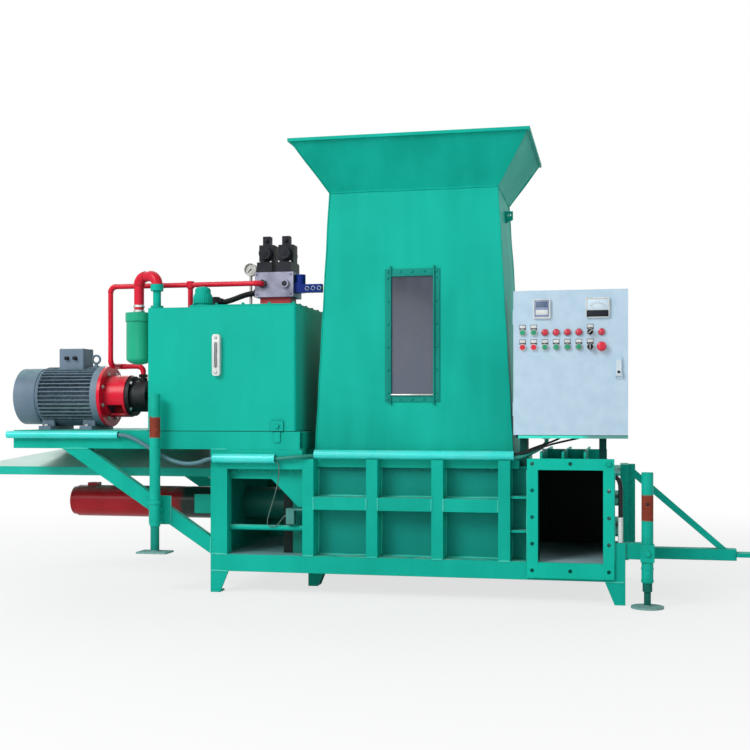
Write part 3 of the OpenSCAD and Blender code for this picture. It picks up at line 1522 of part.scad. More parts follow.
placed() base_frame();
placed() press_chamber();
placed() chamber_ribs();
placed() bay_frame();
placed() ejection_box();
placed() outlet_flange();
placed() hopper();
placed() hopper_flare();
placed() window_frame();
placed() window_pane();
placed() motor_deck();
placed() side_tray();
placed() conduit_pipes();
placed() wiring();
placed() limit_switch();
placed() drawbar();
placed() main_cylinder();
placed() ram_rod();
placed() press_head();
placed() ejector_cylinder();
placed() ejector_rod();
placed() push_plate();
placed() oil_tank();
placed() tank_lid();
placed() filler_cap();
placed() level_gauge();
placed() oil_pipes();
placed() return_filter();
placed() valve_block();
placed() solenoid_valves();
placed() pressure_gauge();
placed() gauge_needle();
placed() blue_manifold();
placed() motor_frame();
placed() fan_cowl();
placed() motor_rotor();
placed() bell_housing();
placed() pump();
placed() right_jack_tube();
placed() right_jack_leg();
placed() left_jack_tube();
placed() left_jack_leg();
placed() cabinet_stand();
placed() cabinet_box();
placed() cabinet_door();
placed() door_handle();
placed() panel_meters();
placed() indicator_lamps();
placed() button_rings();
placed() push_button(0, green_tint);  // green_button_1
placed() push_button(1, green_tint);  // green_button_2
placed() push_button(2, red_tint);  // red_button_1
placed() push_button(3, red_tint);  // red_button_2
placed() push_button(4, green_tint);  // green_button_3
placed() push_button(5, green_tint);  // green_button_4
placed() push_button(6, green_tint);  // green_button_5
placed() push_button(7, green_tint);  // green_button_6
placed() selector(0, 45);  // upper_selector
placed() selector(1, 0);  // lower_selector
placed() emergency_stop();
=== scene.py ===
# %% [markdown]
# # Horizontal silage baler
# The solids of this machine come from a CAD model, already at real size and with every moving
# piece on its own body. This lesson dresses them: paint, steel, plastic and glass get materials
# made of nodes, and the small things a workshop adds, such as weld beads, bolts and gauge faces,
# become meshes worked out with numpy. Nothing here moves or resizes a solid.

# %% Load the machine
import math

import bpy
import numpy as np
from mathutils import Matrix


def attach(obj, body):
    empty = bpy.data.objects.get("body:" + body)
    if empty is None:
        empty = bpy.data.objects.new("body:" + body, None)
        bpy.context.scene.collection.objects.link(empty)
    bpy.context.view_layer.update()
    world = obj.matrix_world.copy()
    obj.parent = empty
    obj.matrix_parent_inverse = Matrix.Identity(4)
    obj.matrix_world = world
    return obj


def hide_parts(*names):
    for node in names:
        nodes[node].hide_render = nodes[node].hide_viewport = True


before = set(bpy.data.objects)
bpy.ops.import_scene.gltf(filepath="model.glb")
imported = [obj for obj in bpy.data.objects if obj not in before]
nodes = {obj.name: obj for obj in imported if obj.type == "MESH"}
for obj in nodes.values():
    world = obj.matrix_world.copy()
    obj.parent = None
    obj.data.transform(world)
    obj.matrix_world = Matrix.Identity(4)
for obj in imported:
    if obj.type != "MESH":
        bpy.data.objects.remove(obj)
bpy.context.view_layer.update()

# %% [markdown]
# The workshop drawing measures in millimetres from the front left corner of the press frame.
# The library puts the origin in the middle of the machine's footprint. One small function turns a
# drawing place into a scene place, so that every number below can be read off the drawing.

# %% From drawing to scene
centre_x = 565
centre_y = 885
MACHINE = "machine"


def place(points):
    """Scene place = (drawing place - centre of the footprint) / 1000, for one point or many."""
    p = np.asarray(points, dtype=float)
    return (p - np.array([centre_x, centre_y, 0.0])) / 1000.0


# %% [markdown]
# The photographer stood in front of the outlet, at chest height, and looked a little to the left.
# The machine's uprights stay upright in the picture, so the camera is level and the frame is
# slid up with the lens shift instead of tilting.

# %% Camera
camera_data = bpy.data.cameras.new("camera")
camera_data.sensor_width = 36
camera_data.lens = 55.2
camera_data.shift_y = 0.0533
camera = bpy.data.objects.new("camera", camera_data)
camera.location = place([1787, -4900, 794]).tolist()
camera.rotation_euler = (math.radians(90), 0, math.radians(11.9))
bpy.context.scene.collection.objects.link(camera)
bpy.context.scene.camera = camera
print("camera", camera_data.lens, "mm lens")

# %% [markdown]
# ## Shader arithmetic
# A material is a graph of nodes, but most of it is plain arithmetic. This small class wraps a
# socket so that `1 - dust * noise` can be written as it is thought. Numbers alone never become
# nodes; only an expression that holds a socket adds a Math node.


# %% Sockets as numbers
class Value:
    """A socket that can be added, taken away, multiplied and raised to a power like a number."""

    def __init__(self, owner, socket):
        self.owner = owner
        self.socket = socket

    def maths(self, operation, a, b, clamp=False):
        settings = {"operation": operation, "use_clamp": clamp}
        return self.owner.node("ShaderNodeMath", settings, {0: a, 1: b})

    def __add__(self, other):
        return self.maths("ADD", self, other)

    def __radd__(self, other):
        return self.maths("ADD", other, self)

    def __sub__(self, other):
        return self.maths("SUBTRACT", self, other)

    def __rsub__(self, other):
        return self.maths("SUBTRACT", other, self)

    def __mul__(self, other):
        return self.maths("MULTIPLY", self, other)

    def __rmul__(self, other):
        return self.maths("MULTIPLY", other, self)

    def __pow__(self, other):
        return self.maths("POWER", self, other)

    def __rpow__(self, other):
        return self.maths("POWER", other, self)

    def clamp(self):
        """The same value, kept from 0 to 1."""
        return self.maths("ADD", self, 0.0, clamp=True)


# %% [markdown]
# A tree of nodes belongs to a material or to the sky. Both are built by the same method, which adds
# any node. A number or colour that is the same all over is set on the socket itself, and only a
# value that comes from another node makes a link.


# %% Trees of nodes
class Nodes:
    """A tree of nodes, empty at first."""

    def __init__(self, tree):
        self.tree = tree
        tree.nodes.clear()

    def node(self, kind, settings=None, sockets=None, out=0):
        """Any node: its settings first, then the values or links of its sockets."""
        made = self.tree.nodes.new(kind)
        for key, value in (settings or {}).items():
            setattr(made, key, value)
        for key, value in (sockets or {}).items():
            self.feed(made.inputs[key], value)
        return Value(self, made.outputs[out])

    def feed(self, socket, value):
        """Links a value of another node, or sets anything else on the socket itself."""
        if isinstance(value, Value):
            self.tree.links.new(value.socket, socket)
        else:
            socket.default_value = value

    def outputs(self, made, keys):
        """Several outputs of the node that a value comes from."""
        return [Value(self, made.socket.node.outputs[key]) for key in keys]

    def background_rays(self):
        """1 for rays that show the background: from the camera, off gloss and through glass."""
        kinds = ("Is Camera Ray", "Is Glossy Ray", "Is Transmission Ray")
        seen, glossy, through = self.outputs(self.node("ShaderNodeLightPath"), kinds)
        return (seen + glossy + through).clamp()


# %% [markdown]
# A finish is such a tree that ends in a Principled shader. Its methods are the few things that every
# finish needs: the place on the object, noise, a step between two limits, a mix of two colours, the
# corners where grime gathers, and relief. Colours are written as a screen shows them, which is easier
# to read than linear light, and one function turns them.


# %% One material
class Finish(Nodes):
    """One material: a tree of nodes ending in a Principled shader."""

    def __init__(self, name):
        self.material = bpy.data.materials.new(name)
        self.material.use_nodes = True
        super().__init__(self.material.node_tree)
        self.output = self.tree.nodes.new("ShaderNodeOutputMaterial")
        self.shader = self.tree.nodes.new("ShaderNodeBsdfPrincipled")
        self.surface = Value(self, self.shader.outputs[0])
        self.feed(self.output.inputs["Surface"], self.surface)

    def set(self, **sockets):
        """Sets the shader's sockets; Base_Color stands for Base Color."""
        for key, value in sockets.items():
            self.feed(self.shader.inputs[key.replace("_", " ")], value)

    def coordinates(self):
        """The place on the object itself, so that the finish moves with it."""
        return self.node("ShaderNodeTexCoord", out="Object")

    def axes(self):
        """The place on the object as three numbers, in metres."""
        split = self.node("ShaderNodeSeparateXYZ", sockets={0: self.coordinates()})
        return self.outputs(split, range(3))

    def facing_up(self):
        """1 on level tops, 0 on walls, -1 under ledges."""
        normal = self.node("ShaderNodeNewGeometry", out="Normal")
        return self.node("ShaderNodeSeparateXYZ", sockets={0: normal}, out=2)

    def noise(self, scale, detail=2.0, roughness=0.5, stretch=(1, 1, 1)):
        """Clouds from 0 to 1, finer with a larger scale; a stretch below 1 draws them out."""
        where = self.node("ShaderNodeMapping", sockets={"Vector": self.coordinates(), "Scale": stretch})
        return self.node("ShaderNodeTexNoise", sockets={
            "Vector": where, "Scale": scale, "Detail": detail, "Roughness": roughness})

    def step(self, value, low, high):
        """0 below low, 1 above high, straight between."""
        return self.node("ShaderNodeMapRange", sockets={0: value, 1: low, 2: high})

    def mix(self, share, a, b):
        """Colour a where share is 0, colour b where it is 1."""
        return self.node("ShaderNodeMix", {"data_type": "RGBA"}, {0: share, 6: a, 7: b}, out=2)

    def corners(self, reach):
        """1 deep in the inner corners of the same piece, 0 in the open."""
        open_sky = self.node("ShaderNodeAmbientOcclusion", {"only_local": True, "samples": 4},
                             {"Distance": reach}, out="AO")
        return 1 - open_sky

    def bump(self, height, distance, strength=1.0, soft_edge=0.0):
        """Relief in the light only; soft_edge rounds the look of sharp edges by that radius."""
        sockets = {"Height": height, "Distance": distance, "Strength": strength}
        if soft_edge:
            sockets["Normal"] = self.node("ShaderNodeBevel", {"samples": 4}, {"Radius": soft_edge})
        self.set(Normal=self.node("ShaderNodeBump", sockets=sockets))


# %% Colours
def rgb(red, green, blue):
    """Colour of the screen, 0 to 255, as the linear colour that the shader wants."""
    c = np.array([red, green, blue]) / 255.0
    linear = np.where(c <= 0.04045, c / 12.92, ((c + 0.055) / 1.055) ** 2.4)
    return (*linear.tolist(), 1.0)


# %% [markdown]
# ## Paint
# The machine was welded up, primed and sprayed in one bright teal. Sprayed enamel isn't one flat
# colour: coats overlap in broad clouds, the gun leaves faint upright bands, dust settles on ledges
# and grime gathers in the inner corners. The ledge dust is pale enough to be painted light on level
# tops as well, and the corner grime is painted shade as well. A painted picture could hold all this,
# but terms worked out from the place fit every piece, so each of these is one term below. A piece that
# is dirty or bare in one place only gets a patch: a function that changes the colour there.

# %% Painted steel
teal = rgb(8, 178, 157)
teal_thin = rgb(5, 162, 142)
teal_chalk = rgb(28, 196, 176)
grime_and_corner_shade = rgb(16, 44, 38)
dust_and_ledge_light = rgb(156, 206, 196)
bare_spot = rgb(84, 88, 80)


def painted(name, coat, thin, chalk, dusty=0.35, worn=0.3, gloss=0.48, bands=0.25, shine=0.1, patch=None):
    """Coats in clouds and upright bands, corner grime and painted shade, ledge dust and painted light,
    chips, and a patch on top.
    """
    f = Finish(name)
    clouds = f.step(f.noise(2.3, 3.0), 0.35, 0.68)
    streaks = f.step(f.noise(9.0, 2.0, 0.6, (1.0, 1.0, 0.12)), 0.40, 0.72)
    colour = f.mix(clouds, coat, thin)
    colour = f.mix(streaks * bands, colour, chalk)
    # Corners of the piece are darkened by its own occlusion: grime, and painted shade as well.
    nook = f.corners(0.05)
    speck = f.noise(55.0, 4.0, 0.7)
    grime_and_painted_shade = (nook * 1.3 * f.step(speck, 0.30, 0.62)).clamp()
    colour = f.mix(grime_and_painted_shade * 0.75, colour, grime_and_corner_shade)
    # Level tops turn pale: dust, and painted light on the lit tops as well.
    ledge = f.step(f.facing_up(), 0.55, 0.95) * f.step(f.noise(14.0, 4.0, 0.65), 0.34, 0.66)
    colour = f.mix(ledge * dusty, colour, dust_and_ledge_light)
    chip = f.step(f.noise(38.0, 5.0, 0.75), 0.70, 0.73) * f.step(f.noise(3.1, 1.0), 0.52, 0.64) * worn
    colour = f.mix(chip, colour, bare_spot)
    if patch:
        colour = patch(f, colour)
    peel = f.noise(420.0, 1.0) * 0.4 + f.noise(60.0, 2.0)
    f.set(Base_Color=colour, Roughness=(gloss + clouds * 0.10 + ledge * 0.30 + grime_and_painted_shade * 0.25).clamp(),
          Specular_IOR_Level=shine)
    f.bump(peel + chip * -2.0, 0.0006, 0.5, 0.003)
    return f.material


# %% [markdown]
# Some places need a patch. Crop and bales scour the chamber and the outlet, whose floor is grey with
# dust near the mouth and darker further in, and whose walls are almost black: both are painted shade.
# The ram bay's floor is dusty too. The main barrel is dark with painted shade where it enters the frame
# and dark green with painted shade inside the bay, up to its green port block. The press head is almost
# black with painted shade behind its green front. The tray is grey with dust and lighter with painted
# light under the deck, the tank has a dark line along its foot, the lip under the cabinet kept a fresh
# mint coat that turns dull with painted shade at its right end, and the jacks' soles are pale with wear.
# Separate faces could carry separate materials, but limits along X, Y and Z leave the solids' meshes
# alone.


# %% Chamber and flange
def between(f, value, low, high):
    """1 from low to high, 0 outside, with a soft millimetre at both ends."""
    return f.step(value, low - 0.001, low) * (1 - f.step(value, high, high + 0.001))


chamber_x, chamber_y = (-0.104, 0.894), (-0.785, -0.085)
outlet_x, outlet_lip_y = (0.893, 1.165), (-0.884, -0.870)
inside_z, floor_shade_deepens_y = (0.1715, 0.564), (-0.80, 0.0)
bay_x, bay_floor_z = (-0.490, -0.140), (0.1715, 0.1735)


def dust_and_shade_inside(f, colour):
    """Inside the chamber and the outlet: dust on level faces, paler near the mouth and darker further in
    as painted shade, and walls painted almost black as painted shade.
    """
    x, y, z = f.axes()
    chamber = between(f, x, *chamber_x) * between(f, y, *chamber_y)
    outlet = between(f, x, *outlet_x) * f.step(y, *outlet_lip_y)
    inside = (chamber + outlet).clamp() * between(f, z, *inside_z)
    depth = f.step(y + (f.noise(9.0, 4.0) - 0.5) * 0.3, *floor_shade_deepens_y)
    level = f.step(f.facing_up(), 0.4, 0.8)
    floor_dust_and_shade = f.mix(depth, rgb(164, 194, 202), rgb(100, 116, 122))
    # The walls inside are painted almost black, and the floor darker further in, as painted shade.
    colour = f.mix(inside * 0.94, colour, f.mix(level, rgb(9, 16, 15), floor_dust_and_shade))
    bay_floor = between(f, x, *bay_x) * between(f, z, *bay_floor_z) * level
    bay_dust = f.mix(f.noise(20.0, 4.0), rgb(96, 140, 146), rgb(140, 176, 180))
    return f.mix(bay_floor * 0.8, colour, bay_dust)


rail_foot_z = (0.5625, 0.5635)


def shaded_panel(f, colour):
    """The panels carry a darker coat as painted shade of their recess; the rail above them keeps the teal
    of the posts.
    """
    z = f.axes()[2]
    return dust_and_shade_inside(f, f.mix(f.step(z, *rail_foot_z), colour, teal))


hole_x, hole_z, hole_r = 0.870, 0.138, 0.0081
hole_pitch_x, hole_pitch_z, hole_soft = 0.0795, 0.05625, 0.0005


def shaded_bolt_holes(f, colour):
    """Painted shade on the walls of the flange's bolt holes, which stand in a pattern of three by five:
    the distance to the nearest place of the pattern is worked out along X and along Z, and is short inside
    a hole."""
    x, _, z = f.axes()
    to_and_fro = {"operation": "PINGPONG"}
    sideways = f.node("ShaderNodeMath", to_and_fro, {0: x - hole_x, 1: hole_pitch_x})
    upwards = f.node("ShaderNodeMath", to_and_fro, {0: z - hole_z, 1: hole_pitch_z})
    apart = (sideways * sideways + upwards * upwards) ** 0.5
    outside = f.step(apart, hole_r - hole_soft, hole_r + hole_soft)
    # Inside a hole the colour is dark green, as painted shade.
    return f.mix(outside, rgb(6, 40, 36), dust_and_shade_inside(f, colour))


# %% Barrel and press head
barrel_shade_x, bay_side_x = (-0.90, -0.84), (-0.560, -0.556)
port_block_x, port_block_y = (-0.7705, -0.6695), (-0.5135, -0.5125)
head_front_x = (-0.212, -0.208)


def barrel_shade(f, colour):
    """Painted shade: dark past a ragged edge and dark green inside the bay, with the frame's coat on the
    port block.
    """
    x, y, _ = f.axes()
    # Past a ragged edge and inside the bay the barrel is darkened as painted shade.
    dark_past_edge = f.step(x + (f.noise(16.0, 4.0) - 0.5) * 0.12, *barrel_shade_x)
    colour = f.mix(dark_past_edge, colour, f.mix(f.noise(40.0, 3.0), rgb(18, 40, 36), rgb(44, 60, 54)))
    in_bay = f.step(x, *bay_side_x)
    colour = f.mix(in_bay, colour, f.mix(f.noise(12.0, 3.0), rgb(26, 108, 96), rgb(38, 130, 116)))
    port_block = between(f, x, *port_block_x) * (1 - f.step(y, *port_block_y))
    return f.mix(port_block, colour, teal)


def green_front(f, colour):
    """Green on the front of the press head."""
    x = f.axes()[0]
    return f.mix(f.step(x, *head_front_x), colour, rgb(18, 120, 106))


# %% Dust and painted light, foot line, lip with painted shade, and soles
tank_foot_z = (0.7190, 0.7228)
lip_y, lip_shade_x = (-0.90, -0.8606), (1.07, 1.11)


def dust_and_light_on_top(f, colour):
    """Thick dust on level faces, pale enough to be painted light under the deck as well."""
    level = f.step(f.facing_up(), 0.5, 0.9)
    pale_dust_and_light = f.mix(f.noise(11.0, 5.0, 0.65), rgb(206, 226, 218), rgb(238, 246, 242))
    return f.mix(level * 0.9, colour, pale_dust_and_light)


def foot_line(f, colour):
    """A dark line where the tank meets the deck."""
    z = f.axes()[2]
    return f.mix(between(f, z, *tank_foot_z), colour, rgb(10, 56, 50))


def fresh_lip_with_shade(f, colour):
    """Mint on the lip under the cabinet, duller at its right end as painted shade."""
    x, y, _ = f.axes()
    fresh = f.mix(f.noise(25.0, 3.0), rgb(50, 228, 198), rgb(92, 240, 220))
    # Towards the right end the mint turns dull as painted shade.
    mint_and_shade = f.mix(f.step(x, *lip_shade_x), fresh, rgb(96, 160, 152))
    return f.mix(between(f, y, *lip_y), colour, mint_and_shade)


def worn_sole(top):
    """Pale, dusty paint on everything below the height of the sole's upper face."""
    def patch(f, colour):
        z = f.axes()[2]
        sole = 1 - f.step(z, top, top + 0.002)
        return f.mix(sole, colour, f.mix(f.noise(45.0, 4.0), rgb(104, 152, 148), rgb(140, 180, 174)))
    return patch


# %% Green coats
right_sole_z, left_sole_z = 0.012, 0.188
teal_paint = painted("teal paint", teal, teal_thin, teal_chalk, dusty=0.6, patch=dust_and_shade_inside)
hopper_paint = painted("hopper paint", teal, teal_thin, teal_chalk, dusty=0.2, worn=0.12, bands=0.32)
tank_paint = painted("tank paint", teal, rgb(12, 170, 150), teal_chalk, worn=0.1, bands=0.18,
                     patch=foot_line)
# The beads' paler teal is painted highlight on them.
weld_paint_with_highlight = painted("weld paint with painted highlight", rgb(70, 208, 190), rgb(36, 188, 168), rgb(150, 234, 222), dusty=0.8,
                     worn=0.1)
# The recessed panels get a darker teal as painted shade.
panel_paint_in_shade = painted("panel paint in painted shade", rgb(14, 150, 136), rgb(12, 134, 124), rgb(26, 160, 148),
                      patch=shaded_panel)
flange_paint = painted("flange paint", rgb(10, 190, 166), rgb(8, 178, 154), rgb(30, 204, 184), worn=0.2,
                       patch=shaded_bolt_holes)
frame_paint = painted("window frame paint", rgb(16, 142, 128), rgb(12, 122, 112), rgb(40, 160, 146),
                      worn=0.5)
# The conduits' bright coat is painted highlight on the round pipes.
conduit_paint_with_highlight = painted("conduit paint with painted highlight", rgb(44, 228, 220), rgb(28, 208, 198), rgb(120, 236, 234),
                        worn=0.15, gloss=0.2, shine=0.5)
# The tray's coat is lighter than the frame's teal as painted light where the deck shades it.
tray_paint_lit = painted("tray paint with painted light", rgb(36, 186, 166), rgb(28, 168, 150), rgb(70, 196, 180), dusty=0.0,
                     patch=dust_and_light_on_top)
stand_paint = painted("dark green paint", rgb(16, 84, 76), rgb(12, 66, 60), rgb(34, 108, 98),
                      patch=fresh_lip_with_shade)
right_leg_paint = painted("right leg paint", rgb(18, 104, 92), rgb(12, 84, 76), rgb(44, 130, 116),
                          worn=0.6, patch=worn_sole(right_sole_z))
left_leg_paint = painted("left leg paint", rgb(20, 148, 130), rgb(14, 126, 112), rgb(44, 166, 148),
                         worn=0.4, patch=worn_sole(left_sole_z))
filter_paint = painted("filter green", rgb(34, 168, 130), rgb(22, 144, 110), rgb(84, 196, 160),
                       gloss=0.28)
print("green coats made")

# %% Red, blue, grey and black coats
cylinder_coat = (rgb(176, 20, 34), rgb(146, 12, 24), rgb(196, 48, 58))
cylinder_paint = painted("cylinder red", *cylinder_coat, gloss=0.28, shine=0.25)
barrel_paint = painted("barrel in painted shade", *cylinder_coat, gloss=0.28, shine=0.25, patch=barrel_shade)
crimson_paint = painted("crimson paint", rgb(226, 14, 48), rgb(198, 8, 38), rgb(238, 60, 88), worn=0.1,
                        gloss=0.26, shine=0.25)
blue_paint = painted("blue paint", rgb(22, 48, 140), rgb(12, 32, 106), rgb(48, 84, 176), worn=0.2,
                     gloss=0.3)
motor_paint = painted("motor grey", rgb(104, 124, 142), rgb(86, 106, 124), rgb(134, 150, 164),
                      dusty=0.4, shine=0.3)
# The press head's near-black coat is painted shade of the bay; its chips are wear.
head_paint_in_shade = painted("worn press head in painted shade", rgb(12, 26, 24), rgb(8, 18, 16), rgb(60, 84, 78), worn=0.9,
                     patch=green_front)
plate_paint = painted("worn push plate", rgb(16, 22, 22), rgb(8, 12, 12), rgb(52, 58, 58), worn=0.6)
print("other coats made")

# %% [markdown]
# The jacks were patched after welding: a band of brown-red primer was left bare between two green
# coats. The band is a height on the jack, so it is read from the Z of the object's own coordinates.

# %% Jack paint with its primer band
primer = rgb(150, 66, 48)


def jack_paint(name, low, high):
    """Teal with chips, and rusty primer between the heights low and high, with a ragged edge."""
    f = Finish(name)
    z = f.axes()[2]
    ragged = z + (f.noise(40.0, 3.0) - 0.5) * 0.012
    band = f.step(ragged, low - 0.003, low + 0.003) * (1 - f.step(ragged, high - 0.003, high + 0.003))
    coat = f.mix(f.step(f.noise(12.0, 3.0), 0.35, 0.65), teal, teal_thin)
    rust = f.mix(f.step(f.noise(70.0, 4.0, 0.7), 0.3, 0.7), primer, rgb(112, 46, 36))
    chip = f.step(f.noise(45.0, 5.0, 0.75), 0.66, 0.70) * 0.7
    f.set(Base_Color=f.mix(band, f.mix(chip, coat, bare_spot), rust), Roughness=band * 0.25 + 0.5,
          Specular_IOR_Level=0.15)
    f.bump(f.noise(90.0, 3.0) + band * 0.6, 0.0006, 0.6, 0.002)
    return f.material


right_jack_paint = jack_paint("right jack paint", 0.358, 0.465)
left_jack_paint = jack_paint("left jack paint", 0.691, 0.785)
print("jack paints made")

# %% [markdown]
# ## Bare metal, plastic and glass
# Machined steel shows fine lines along the cut, chrome on the rods is smooth with a trace of oil,
# and cast iron is pitted. Plastics differ by grain and gloss. Only a few numbers change between
# them, so each family has one function. The valve block stands on a foot of sprayed red.


# %% Metals
def metal(name, colour, dull, rough, grain=(1, 1, 1), scale=90.0, depth=0.0002, foot=None):
    """Bare metal with lines along the grain and dull stains; below the height foot it is painted."""
    f = Finish(name)
    lines = f.noise(scale, 3.0, 0.6, grain)
    stain = f.step(f.noise(7.0, 4.0, 0.6), 0.42, 0.70)
    tone, bare = f.mix(stain, colour, dull), 1.0
    if foot:
        z = f.axes()[2]
        bare = f.step(z, foot - 0.001, foot)
        tone = f.mix(bare, rgb(176, 16, 36), tone)
    f.set(Base_Color=tone, Metallic=bare, Roughness=(rough + lines * 0.14 + stain * 0.16).clamp())
    f.bump(lines, depth, 0.5, 0.0015)
    return f.material


# %% Metal parts
steel = metal("bare steel", rgb(176, 178, 178), rgb(120, 118, 112), 0.30, (1, 1, 8))
zinc = metal("zinc bolts", rgb(196, 198, 196), rgb(150, 150, 144), 0.32, scale=220.0)
chrome_rod = metal("chrome rod", rgb(205, 206, 208), rgb(170, 168, 160), 0.10, (12, 1, 1))
block_metal = metal("machined block", rgb(136, 137, 154), rgb(112, 112, 128), 0.40, (1, 10, 1), 140.0,
                    foot=1.338)
trim_metal = metal("satin trim", rgb(190, 192, 194), rgb(156, 158, 160), 0.28, scale=160.0)
pump_iron = metal("pump iron", rgb(52, 54, 56), rgb(34, 35, 37), 0.52, scale=60.0, depth=0.0008)
fitting_steel = metal("black fittings", rgb(60, 60, 62), rgb(38, 38, 40), 0.36, scale=120.0)
print("metals made")


# %% Plastics
def plastic(name, colour, shade, rough, grain, depth, coat=0.0, shine=0.4, patch=None):
    """Two close shades, a film that dulls the gloss in places, and a fine grain of the mould."""
    f = Finish(name)
    tone = f.mix(f.step(f.noise(18.0, 3.0), 0.35, 0.65), colour, shade)
    film = f.step(f.noise(5.0, 4.0, 0.6), 0.40, 0.75)
    if patch:
        tone = patch(f, tone)
    f.set(Base_Color=tone, Roughness=(rough + film * 0.15).clamp(), Coat_Weight=coat,
          Specular_IOR_Level=shine)
    f.bump(f.noise(grain, 1.0), depth, 0.4, 0.0008)
    return f.material


sleeve_x, spray_x = (-1.001, -0.546), (-0.28, -0.26)


def sleeves(f, colour):
    """Grey-blue ribbed sleeve past the left jack, and green overspray where it nears the cabinet."""
    x = f.axes()[0]
    ribbed = between(f, x, *sleeve_x)
    sprayed = f.step(x + (f.noise(30.0, 3.0) - 0.5) * 0.06, *spray_x)
    return f.mix(sprayed * 0.9, f.mix(ribbed * 0.85, colour, rgb(84, 130, 140)), rgb(26, 138, 122))


# %% Plastic parts
black_plastic = plastic("black plastic", rgb(26, 30, 38), rgb(16, 18, 24), 0.46, 600.0, 0.0003, shine=0.2)
red_plastic = plastic("red plastic", rgb(222, 16, 50), rgb(196, 10, 40), 0.22, 900.0, 0.0001, 0.4)
green_plastic = plastic("green plastic", rgb(24, 160, 118), rgb(16, 134, 98), 0.22, 900.0, 0.0001, 0.4)
white_plastic = plastic("white plastic", rgb(226, 228, 226), rgb(206, 210, 208), 0.30, 700.0, 0.0001, 0.2)
dial_white = plastic("dial white", rgb(214, 230, 240), rgb(200, 220, 232), 0.35, 700.0, 0.00005)
ink = plastic("printed ink", rgb(24, 26, 32), rgb(34, 36, 44), 0.5, 700.0, 0.00005)
cable_skin = plastic("cable skin", rgb(40, 58, 68), rgb(28, 42, 52), 0.45, 300.0, 0.0003, patch=sleeves)
hose_rubber = plastic("hose rubber", rgb(26, 30, 32), rgb(16, 19, 21), 0.55, 260.0, 0.0004, shine=0.25)
cabinet_paint = plastic("cabinet enamel", rgb(190, 214, 231), rgb(180, 206, 224), 0.36, 900.0, 0.0004, 0.1)
lens_red = plastic("lamp lens", rgb(216, 12, 60), rgb(188, 8, 48), 0.16, 120.0, 0.0004, 0.6)
switch_shell = plastic("switch shell", rgb(66, 138, 130), rgb(48, 112, 106), 0.4, 400.0, 0.0003)


# %% The window
film_thins_z = (0.90, 1.35)


def dusty_glass(name):
    """Tinted sheet, smeared by crop dust that is thicker towards the foot of the pane."""
    f = Finish(name)
    z = f.axes()[2]
    low = 1 - f.step(z, *film_thins_z)
    smear = f.step(f.noise(10.0, 5.0, 0.65, (1, 1, 0.4)), 0.34, 0.74)
    film = (smear * 0.5 + low * 0.35).clamp()
    f.set(Base_Color=f.mix(film, rgb(26, 36, 54), rgb(68, 82, 104)), Roughness=film * 0.35 + 0.12,
          Coat_Weight=0.12, Coat_Roughness=0.06)
    f.bump(f.noise(4.0, 1.0), 0.002, 0.15)
    return f.material


pane_glass = dusty_glass("window glass")

# %% Small parts of the cabinet and the gauges
oil_glass = plastic("oil in the sight glass", rgb(150, 152, 160), rgb(122, 120, 122), 0.10, 300.0, 0.0001,
                    0.8)
counter_grey = plastic("counter case", rgb(140, 154, 184), rgb(126, 140, 172), 0.4, 700.0, 0.0002)
display_slate = plastic("display slate", rgb(84, 100, 130), rgb(70, 86, 114), 0.3, 700.0, 0.00005)
handle_enamel = plastic("handle enamel", rgb(212, 224, 232), rgb(196, 210, 220), 0.3, 700.0, 0.0001, 0.2)
wire_skin = plastic("wire skin", rgb(92, 118, 108), rgb(70, 96, 88), 0.5, 300.0, 0.0002)
display_glow = plastic("display digits", rgb(176, 194, 222), rgb(156, 176, 208), 0.4, 700.0, 0.00005)
print("plastics and glass made")

# %% [markdown]
# Every solid now gets its finish. The names are the CAD model's own, and a solid that isn't in the
# list would stop the script, so none is left in a plain colour.

# %% Dress the solids
finish_of = [
    (teal_paint, "base_frame chamber_ribs bay_frame ejection_box motor_deck drawbar"),
    (panel_paint_in_shade, "press_chamber"),
    (flange_paint, "outlet_flange"),
    (conduit_paint_with_highlight, "conduit_pipes"),
    (frame_paint, "window_frame"),
    (hopper_paint, "hopper hopper_flare"),
    (tank_paint, "oil_tank tank_lid filler_cap"),
    (tray_paint_lit, "side_tray"),
    (stand_paint, "cabinet_stand"),
    (crimson_paint, "oil_pipes bell_housing"),
    (barrel_paint, "main_cylinder"),
    (cylinder_paint, "ejector_cylinder"),
    (blue_paint, "blue_manifold"),
    (filter_paint, "return_filter"),
    (motor_paint, "motor_frame fan_cowl"),
    (head_paint_in_shade, "press_head"),
    (plate_paint, "push_plate"),
    (right_jack_paint, "right_jack_tube"),
    (left_jack_paint, "left_jack_tube"),
    (right_leg_paint, "right_jack_leg"),
    (left_leg_paint, "left_jack_leg"),
    (steel, "motor_rotor pressure_gauge"),
    (handle_enamel, "door_handle"),
    (chrome_rod, "ram_rod ejector_rod"),
    (block_metal, "valve_block"),
    (trim_metal, "button_rings"),
    (pump_iron, "pump"),
    (black_plastic, "solenoid_valves gauge_needle upper_selector lower_selector"),
    (red_plastic, "red_button_1 red_button_2 emergency_stop"),
    (green_plastic, " ".join(f"green_button_{i}" for i in range(1, 7))),
    (lens_red, "indicator_lamps"),
    (white_plastic, "level_gauge panel_meters"),
    (cabinet_paint, "cabinet_box cabinet_door"),
    (cable_skin, "wiring"),
    (switch_shell, "limit_switch"),
    (pane_glass, "window_pane"),
]
dressed = set()
for material, names in finish_of:
    for name in names.split():
        data = nodes[name].data
        data.materials.clear()
        data.materials.append(material)
        dressed.add(name)
assert dressed == set(nodes), sorted(set(nodes) - dressed)
print("dressed", len(dressed), "solids")

